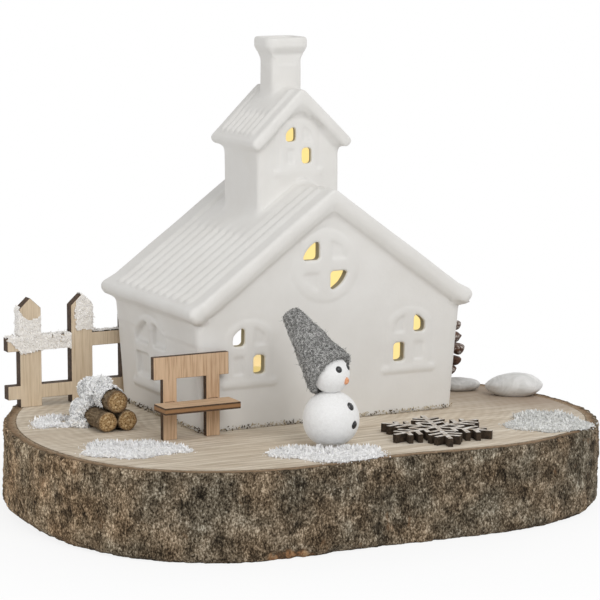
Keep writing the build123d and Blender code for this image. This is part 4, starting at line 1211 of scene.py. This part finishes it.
def drift(name, node, material, seed):
    """A drift: a thin ragged bed, flakes tumbled on it, shards standing in it and a few strays round it."""
    low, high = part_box(node)
    centre = (low + high) / 2
    rim = outline_of(node)
    mesh = NODES[node].data
    solid = BVHTree.FromPolygons([v.co for v in mesh.vertices], [p.vertices for p in mesh.polygons])
    xs = np.arange(low.x - DRIFT_MARGIN, high.x + DRIFT_MARGIN, DRIFT_STEP)
    ys = np.arange(low.y - DRIFT_MARGIN, high.y + DRIFT_MARGIN, DRIFT_STEP)
    inward = np.empty((len(xs), len(ys)))
    points = []
    for i, x in enumerate(xs):
        for j, y in enumerate(ys):
            edge = np.sqrt(((rim - (x, y)) ** 2).sum(1).min())
            over = solid.ray_cast(Vector((x, y, high.z + 1)), Vector((0, 0, -1)))[0] is not None
            here = Vector((x, y, 0))
            wander = 1.3 * MM * grit(here, 5 * MM) + 0.9 * MM * grit(here, 1.7 * MM)
            inward[i, j] = (edge if over else -edge) + wander
            full = min(1, max(0.02, inward[i, j] / DRIFT_SLOPE))
            lump = 0.5 + 0.3 * grit((x, y, seed), 2.2 * MM) + 0.25 * grit((x, y, seed), 0.9 * MM)
            points.append((x, y, low.z + 0.06 * MM + max(0.05, lump) * full * DRIFT_HEIGHT))
    cells = {"bed": [], "standing": [], "strays": []}
    for i, x in enumerate(xs[:-1]):
        for j, y in enumerate(ys[:-1]):
            first, second = i * len(ys) + j, (i + 1) * len(ys) + j
            face = (first, second, second + 1, first + 1)
            if inward[i, j] > 0:
                cells["bed"].append(face)
                back = (AWAY[0] * (x - centre.x) + AWAY[1] * (y - centre.y)) / (high.y - low.y) * 2
                if back + 0.7 * grit((x, y, seed), 4 * MM) > 0.1:
                    cells["standing"].append(face)
            elif inward[i, j] > -DRIFT_STRAYS:
                cells["strays"].append(face)

    def ground(kind):
        ground_mesh = mesh_of(name + "_" + kind, points, cells[kind])
        with opened(ground_mesh) as shape:
            bmesh.ops.delete(shape, geom=[v for v in shape.verts if not v.link_faces], context="VERTS")
        return ground_mesh

    bed = new_piece(name + "_bed", ground("bed"))
    paint(bed, material)
    dress(bed, "slice", "snow", node)
    for kind, flake, tree, density, sizes, lift in (
            ("bed", SHARD, TUMBLED, 5.0e6, (0.7, 1.7), 0.5),
            ("standing", BLADE, COMBED, 1.5e6, (0.9, 2.2), 0.0),
            ("strays", SHARD, TUMBLED, 3.5e5, (0.5, 1.1), 0.1)):
        flakes = name + "_" + kind + "_flakes"
        strewn(flakes, ground(kind), flake, tree, "snow", density, sizes, material, seed, lift, 28)


def log_heap(material):
    """Snow heaped on the logs in lumps: a rough core under a coat of flakes, some standing."""
    core = recast("log_heap_core", "log_snow", 0.45 * MM, settling=28)
    for vert in core.data.vertices:
        vert.co += vert.normal * MM * (1.1 * grit(vert.co, 3.4 * MM) + 0.5 * grit(vert.co, 1.2 * MM) + 0.1)
    axis, _ = middle_of("log_top")
    heap, size = middle_of("log_snow")
    ground = heap.z - size.z / 2
    for vert in core.data.vertices:
        at = vert.co
        at.x -= 0.75 * max(0.0, at.x - axis.x - HEAP_RIGHT)
        shoulder = axis.x + HEAP_FOOT + HEAP_RISE * (at.z - ground) + HEAP_SKEW * (at.y - heap.y)
        at.x += 0.9 * max(0.0, shoulder - at.x)
        at.z -= 0.8 * max(0.0, at.z - ground - HEAP_TOP)
    core.data.update()
    core.data.shade_smooth()
    lumps = core.data
    strewn("log_heap_flakes", lumps.copy(), SHARD, TUMBLED, "snow", 4.5e6, (0.8, 2.0), material, 25, 0.4)
    strewn("log_heap_shards", lumps.copy(), BLADE, COMBED, "snow", 8e5, (0.9, 1.8), material, 26, tilt=30)
    paint(core, material)
    dress(core, "slice", "snow", "log_snow")


def snow_skin(skin, bare, thick, rough, grain):
    """Takes the bare faces from a skin and raises the others in lumps, with lengths in millimetres."""
    with opened(skin.data) as shape:
        taken = [face for face in shape.faces if bare(face.calc_center_median(), face.normal)]
        bmesh.ops.delete(shape, geom=taken, context="FACES")
        shape.normal_update()
        moved = [(v, v.normal * MM * (thick + rough * grit(v.co, grain * MM))) for v in shape.verts]
        for vert, shift in moved:
            vert.co += shift
    skin.data.shade_smooth()


def snow_on_twig(name, piece, start, material, seed):
    """Snow lying along a twig from a place behind its front end: a lumpy skin with flakes on it."""
    def bare(at, normal):
        in_front = at.y < start + 2 * MM * grit(at, 3 * MM)
        return in_front or normal.z < 0.35 * normal.x - 0.2 or abs(normal.y) > 0.75

    skin = new_piece(name + "_skin", piece.data.copy())
    snow_skin(skin, bare, 0.5, 0.4, 1.6)
    flakes = name + "_flakes"
    strewn(flakes, skin.data.copy(), SHARD, TUMBLED, "snow", 4.5e6, (0.7, 1.7), material, seed, 0.4)
    paint(skin, material)
    dress(skin, "slice", "snow")


def snow_on_fence(across, up, normal):
    """How deep inside the snowed part of the fence a place lies."""
    second = across - PICKET_STEP
    if normal.z > 0.6 and abs(up - RAIL_TOP) < 0.6:
        return 0.4
    if normal.y > -0.5:
        left_edge = normal.x < -0.4 and abs(across) < 0.6
        right_edge = (normal.x > 0.3 or normal.z > 0.3) and second > PICKET / 2
        if left_edge:
            return min(up - EDGE_SNOW[0], EDGE_SNOW[1] - up)
        return min(up - 27.0, 2.0) if right_edge and second < 9 else NO_SNOW
    if -5 < across < 0:
        return min(up - max(21.5, 24.6 - 0.9 * (across + RAIL_END)), RAIL_TOP + 0.5 - up)
    if across <= PICKET:
        dip, foot, top = FIRST_SNOW
        side = (across - dip) / (dip if across < dip else 3.4)
        return min(up - foot - 0.1 * across, top + (3.6 if across < dip else 2.4) * side ** 2 - up)
    if across < PICKET_STEP:
        return 0.5 if up > RAIL - 0.3 else NO_SNOW
    if second <= PICKET + 0.5:
        return min(second - 1.2 - 0.12 * abs(up - 33), up - SECOND_SNOW)
    return NO_SNOW


def fence_coat(material):
    """Thin snow clinging to the fence: a ragged skin over its own faces, with flakes on it."""
    low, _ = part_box("picket_fence")

    def bare(at, normal):
        deep = snow_on_fence((at.x - low.x) / MM - RAIL_END, (at.z - low.z) / MM, normal)
        return deep + 0.9 * grit(at, 2.6 * MM) + 0.7 * grit(at, 0.9 * MM) < 0 or normal.y > 0.5

    skin = recast("fence_snow_skin", "picket_fence", 0.4 * MM)
    snow_skin(skin, bare, 0.3, 0.3, 1.4)
    coat = skin.data
    strewn("fence_snow_flakes", coat.copy(), SHARD, TUMBLED, "snow", 7e6, (0.4, 1.0), material, 26)
    strewn("fence_snow_shards", coat.copy(), BLADE, COMBED, "snow", 2e5, (0.6, 1.2), material, 27, tilt=30)
    paint(skin, material)
    dress(skin, "slice", "snow", "fence_snow")


# Pine cone and pebbles

def scale_shape():
    """One woody scale: a thin spoon that thickens to a lip, its tip marked for the frost."""
    points, tips = [], []
    for side in (1, -1):
        for i in range(SCALE_ROWS):
            t = 1 - (1 - i / (SCALE_ROWS - 1)) ** 1.6
            half = 0.5 * (0.35 + 0.75 * sin(pi * min(1.0, 0.15 + 0.62 * t)))
            for j in range(SCALE_ACROSS):
                u = 2 * j / (SCALE_ACROSS - 1) - 1
                thick = (0.18 + 0.62 * t ** 2) * sqrt(1.02 - t ** 5) * (1 - 0.7 * u * u)
                rise = 0.14 * t * t + 0.1 * u * u + side * thick / 2
                points.append((t * (1 - 0.12 * u * u), half * u * 0.8, rise))
                tips.append(t)
    size = SCALE_ROWS * SCALE_ACROSS
    faces = []
    for i in range(SCALE_ROWS - 1):
        for j in range(SCALE_ACROSS - 1):
            a, b = i * SCALE_ACROSS + j, (i + 1) * SCALE_ACROSS + j
            faces.append((a, b, b + 1, a + 1))
            faces.append((size + a, size + a + 1, size + b + 1, size + b))
    rim = list(range(SCALE_ACROSS)) + list(range(2 * SCALE_ACROSS - 1, size, SCALE_ACROSS))
    rim += list(range(size - 2, size - SCALE_ACROSS - 1, -1))
    rim += list(range(size - 2 * SCALE_ACROSS, 0, -SCALE_ACROSS))
    faces += [(size + a, size + b, b, a) for a, b in zip(rim, rim[1:] + rim[:1])]
    mesh = mesh_of("scale_shape", points, faces)
    mark(mesh, "tip", tips)
    with opened(mesh) as shape:
        bmesh.ops.recalc_face_normals(shape, faces=shape.faces)
    return new_piece("scale_shape", mesh)


def pine_cone(material):
    """Scales set in a spiral round a plain core."""
    low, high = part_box("pine_cone")
    size = high - low
    middle = (low + high) / 2
    scale = scale_shape()
    piece = grown(new_piece("pine_cone_scales", bpy.data.meshes.new("pine_cone_scales")), cone_tree(), {
        "Shape": scale, "Count": CONE_SCALES, "Radius": size.x / 2, "Height": size.z, "Turn": CONE_TURN,
        "Middle": (middle.x, middle.y, low.z), "Finish": material})
    piece.data.shade_smooth()
    bpy.data.objects.remove(scale)
    dress(piece, "slice", "cone_wood", "pine_cone")
    centre = Vector((middle.x, middle.y, low.z + CONE_CORE * size.z))
    radii = (0.4 * size.x / 2, 0.4 * size.y / 2, CONE_CORE * size.z)
    core = lumpy_ball("pine_cone_core", centre, radii, 0.05, 0.02, 4, low.z, 5.0)
    paint(core, material)
    dress(core, "slice", "cone_wood")


def stone(name, node, material, blunt, seed):
    """Worn pebble lying along its length: pointed at its left end and blunt at its right."""
    low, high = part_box(node)
    size = high - low
    half = 0.5 * sqrt(max(size.x, size.y) ** 2 * 1.06)
    rise = PEBBLE_RISE * size.z
    radii = (half * 0.98, 0.56 * half, 0.54 * size.z)
    piece = lumpy_ball(name, Vector((0, 0, 0)), radii, 0.06, 0.012, 5, -rise, seed)
    for vert in piece.data.vertices:
        swell = 1 + blunt * (vert.co.x / half)
        vert.co.y *= swell
        if vert.co.z > 0:
            vert.co.z *= min(1.0, swell)
    middle = Vector(((low.x + high.x) / 2, (low.y + high.y) / 2, low.z + rise))
    piece.data.transform(Matrix.Translation(middle) @ Matrix.Rotation(-LIE, 4, "Z"))
    paint(piece, material)
    dress(piece, "slice", "pebble", node)


# Build

house(ceramic(), ceramic_inside_painted_glow())
foot_grit(dark_grit(), crumbs())
slice_middle, _ = middle_of("wood_slice")
paint(NODES["wood_slice"], sawn_wood((0.006, -0.002, slice_middle.z)))
bark_ring(bark())

seat_middle, seat_size = middle_of("bench_seat")
seat_core = (SEAT_CORE, seat_middle, seat_size.z / MM / 2)
fence_ply = plywood("fence_ply", "Y", TAN, TAN_STREAK, "Z")
bench_ply = plywood("bench_ply", "Y", PINK, PINK_STREAK, "Z")
seat_ply = plywood("seat_ply", "Z", PINK, PINK_STREAK, "X", seat_core)
cut_ply("fence_panel", "picket_fence", "plywood", fence_ply, 0.2)
cut_ply("bench_back_panel", "bench_back", "plywood", bench_ply, 0.18)
cut_ply("bench_seat_board", "bench_seat", "plywood", seat_ply, 0.18)
cut_ply("snowflake_cutout", "wooden_snowflake", "flake_wood", whitewashed_flake(), 0.12)

# painted shade: the dull grey (0.50) on the core and on many flakes stands for the shadowed gaps between
# flakes
heaped_snow = snow("heaped_snow", (0.50, 0.50, 0.50), (0.96, 0.96, 0.955), 0.4)
twig_skin = twig_bark()
for log, bare_length in BARE_TWIG.items():
    log_middle, log_size = middle_of(log)
    cut_twig = twig("twig_" + log, log, twig_skin, twig_end(log_middle))
    if bare_length * MM < log_size.y:
        snow_from = log_middle.y - log_size.y / 2 + bare_length * MM
        snow_on_twig("snow_" + log, cut_twig, snow_from, heaped_snow, 30 + int(bare_length))

pressed_cotton = cotton()
ball("snowman_body_ball", "snowman_body", pressed_cotton, BALL_FLAT)
ball("snowman_head_ball", "snowman_head", pressed_cotton)
hat(felt(), felt_fibre())

flake_snow = snow("flake_snow", (0.77, 0.765, 0.76), (0.96, 0.955, 0.95))
thin_snow = snow("thin_snow", (0.63, 0.63, 0.61), (0.84, 0.84, 0.82))
drift("drift_front_left", "snow_patch_front_left", flake_snow, 21)
drift("drift_front", "snow_patch_front", flake_snow, 22)
drift("drift_right", "snow_patch_right", thin_snow, 23)
drift("drift_by_logs", "snow_patch_logs", flake_snow, 24)
log_heap(heaped_snow)
fence_coat(snow("caked_snow", (0.84, 0.81, 0.77), (0.98, 0.96, 0.93)))

pine_cone(cone_scale())
milky = pebble("milky_pebble", (0.53, 0.525, 0.505), (0.72, 0.715, 0.70))
# painted shade: the round pebble's grey is partly the stone's own colour and partly painted, darkened for
# the shade it lies in
grey = pebble("grey_pebble", (0.34, 0.33, 0.315), (0.56, 0.55, 0.535))
stone("pebble_long", "pebble_large", milky, 0.25, 7.0)
stone("pebble_round", "pebble_small", grey, 0.0, 11.0)

# Nodes shown as they are, with a finish
white_plastic = moulded("white_plastic", (0.78, 0.77, 0.73), (0.84, 0.83, 0.79), 0.45).material
black_plastic = moulded("black_plastic", (0.02, 0.02, 0.02), (0.04, 0.04, 0.04), 0.4).material
cell_steel = metal("cell_steel", (0.60, 0.60, 0.59), (0.70, 0.70, 0.69), 0.3)
contact_brass = metal("contact_brass", (0.62, 0.46, 0.20), (0.72, 0.55, 0.26), 0.3)
screw_steel = metal("screw_steel", (0.45, 0.45, 0.45), (0.55, 0.55, 0.55), 0.35)
for finish, shown in (
        (black_paint(), ("snowman_eyes", "snowman_buttons")),
        (orange_nose(), ("snowman_nose",)),
        (white_plastic, ("tealight_cup", "tealight_base", "battery_door")),
        (black_plastic, ("tealight_switch",)),
        (flame_plastic(), ("tealight_flame",)),
        (led_epoxy(), ("tealight_led",)),
        (cell_steel, ("coin_cell",)),
        (contact_brass, ("cell_contact_upper", "cell_contact_side")),
        (screw_steel, ("battery_door_screw",))):
    for node in shown:
        paint(NODES[node], finish)

for pattern in (SHARD, BLADE, STRAND, WISP):
    bpy.data.objects.remove(pattern)


# Stage

def seen_rays(wiring):
    """1 for rays that show the background, straight, mirrored or through glass."""
    rays = wiring.node("ShaderNodeLightPath").outputs
    shown = wiring.math("MAXIMUM", rays["Is Camera Ray"], rays["Is Glossy Ray"])
    return wiring.math("MAXIMUM", shown, rays["Is Transmission Ray"])


def white_floor():
    """Pale floor that shows white, keeps the object's shadow and fades to plain white away from it."""
    material = bpy.data.materials.new("studio_floor")
    material.use_nodes = True
    floor = Wiring(material.node_tree)
    floor.tree.nodes.clear()
    shadowed = floor.value("ShaderNodeBsdfDiffuse", {"Color": (0.9, 0.9, 0.9, 1)})
    glow = floor.value("ShaderNodeEmission", {"Strength": 1.0})
    away = floor.length(floor.node("ShaderNodeTexCoord").outputs["Object"])
    near, far = FLOOR_FADE
    fade = {"Value": away, "From Min": near, "From Max": far, "To Min": FLOOR_GLOW, "To Max": 1.0}
    plain = floor.value("ShaderNodeMapRange", fade, "Result") * seen_rays(floor)
    blend = floor.value("ShaderNodeMixShader", {"Fac": plain, 1: shadowed, 2: glow})
    floor.node("ShaderNodeOutputMaterial", {"Surface": blend})
    return material


def studio():
    """White floor and background, and the lamps."""
    corners = [(FLOOR_HALF * x, FLOOR_HALF * y, 0) for x, y in ((-1, -1), (1, -1), (1, 1), (-1, 1))]
    floor = new_piece("floor", mesh_of("floor", corners, [(0, 1, 2, 3)], False))
    paint(floor, white_floor())

    world = bpy.data.worlds.new("studio")
    bpy.context.scene.world = world
    world.use_nodes = True
    sky = Wiring(world.node_tree)
    sky.tree.nodes.clear()
    dimmed = {"Value": seen_rays(sky), "To Min": SKY, "To Max": 1.0}
    strength = sky.value("ShaderNodeMapRange", dimmed, "Result")
    white = sky.value("ShaderNodeBackground", {"Strength": strength, "Color": (1, 1, 1, 1)})
    sky.node("ShaderNodeOutputWorld", {"Surface": white})

    for name, place, size, power in LAMPS:
        lamp = bpy.data.lights.new(name, "AREA")
        lamp.size = size
        lamp.energy = power
        light = new_piece(name, lamp)
        light.location = place
        light.rotation_euler = (LAMP_AIM - light.location).to_track_quat("-Z", "Y").to_euler()


def camera():
    lens = bpy.data.cameras.new("camera")
    lens.lens = CAMERA_LENS
    lens.sensor_width = CAMERA_SENSOR
    lens.clip_start = 0.01
    view = new_piece("camera", lens)
    view.location = CAMERA_AT
    view.rotation_euler = Euler((radians(CAMERA_PITCH), 0, radians(CAMERA_HEADING)))
    bpy.context.scene.camera = view


studio()
camera()
bpy.context.scene.view_settings.view_transform = "Standard"
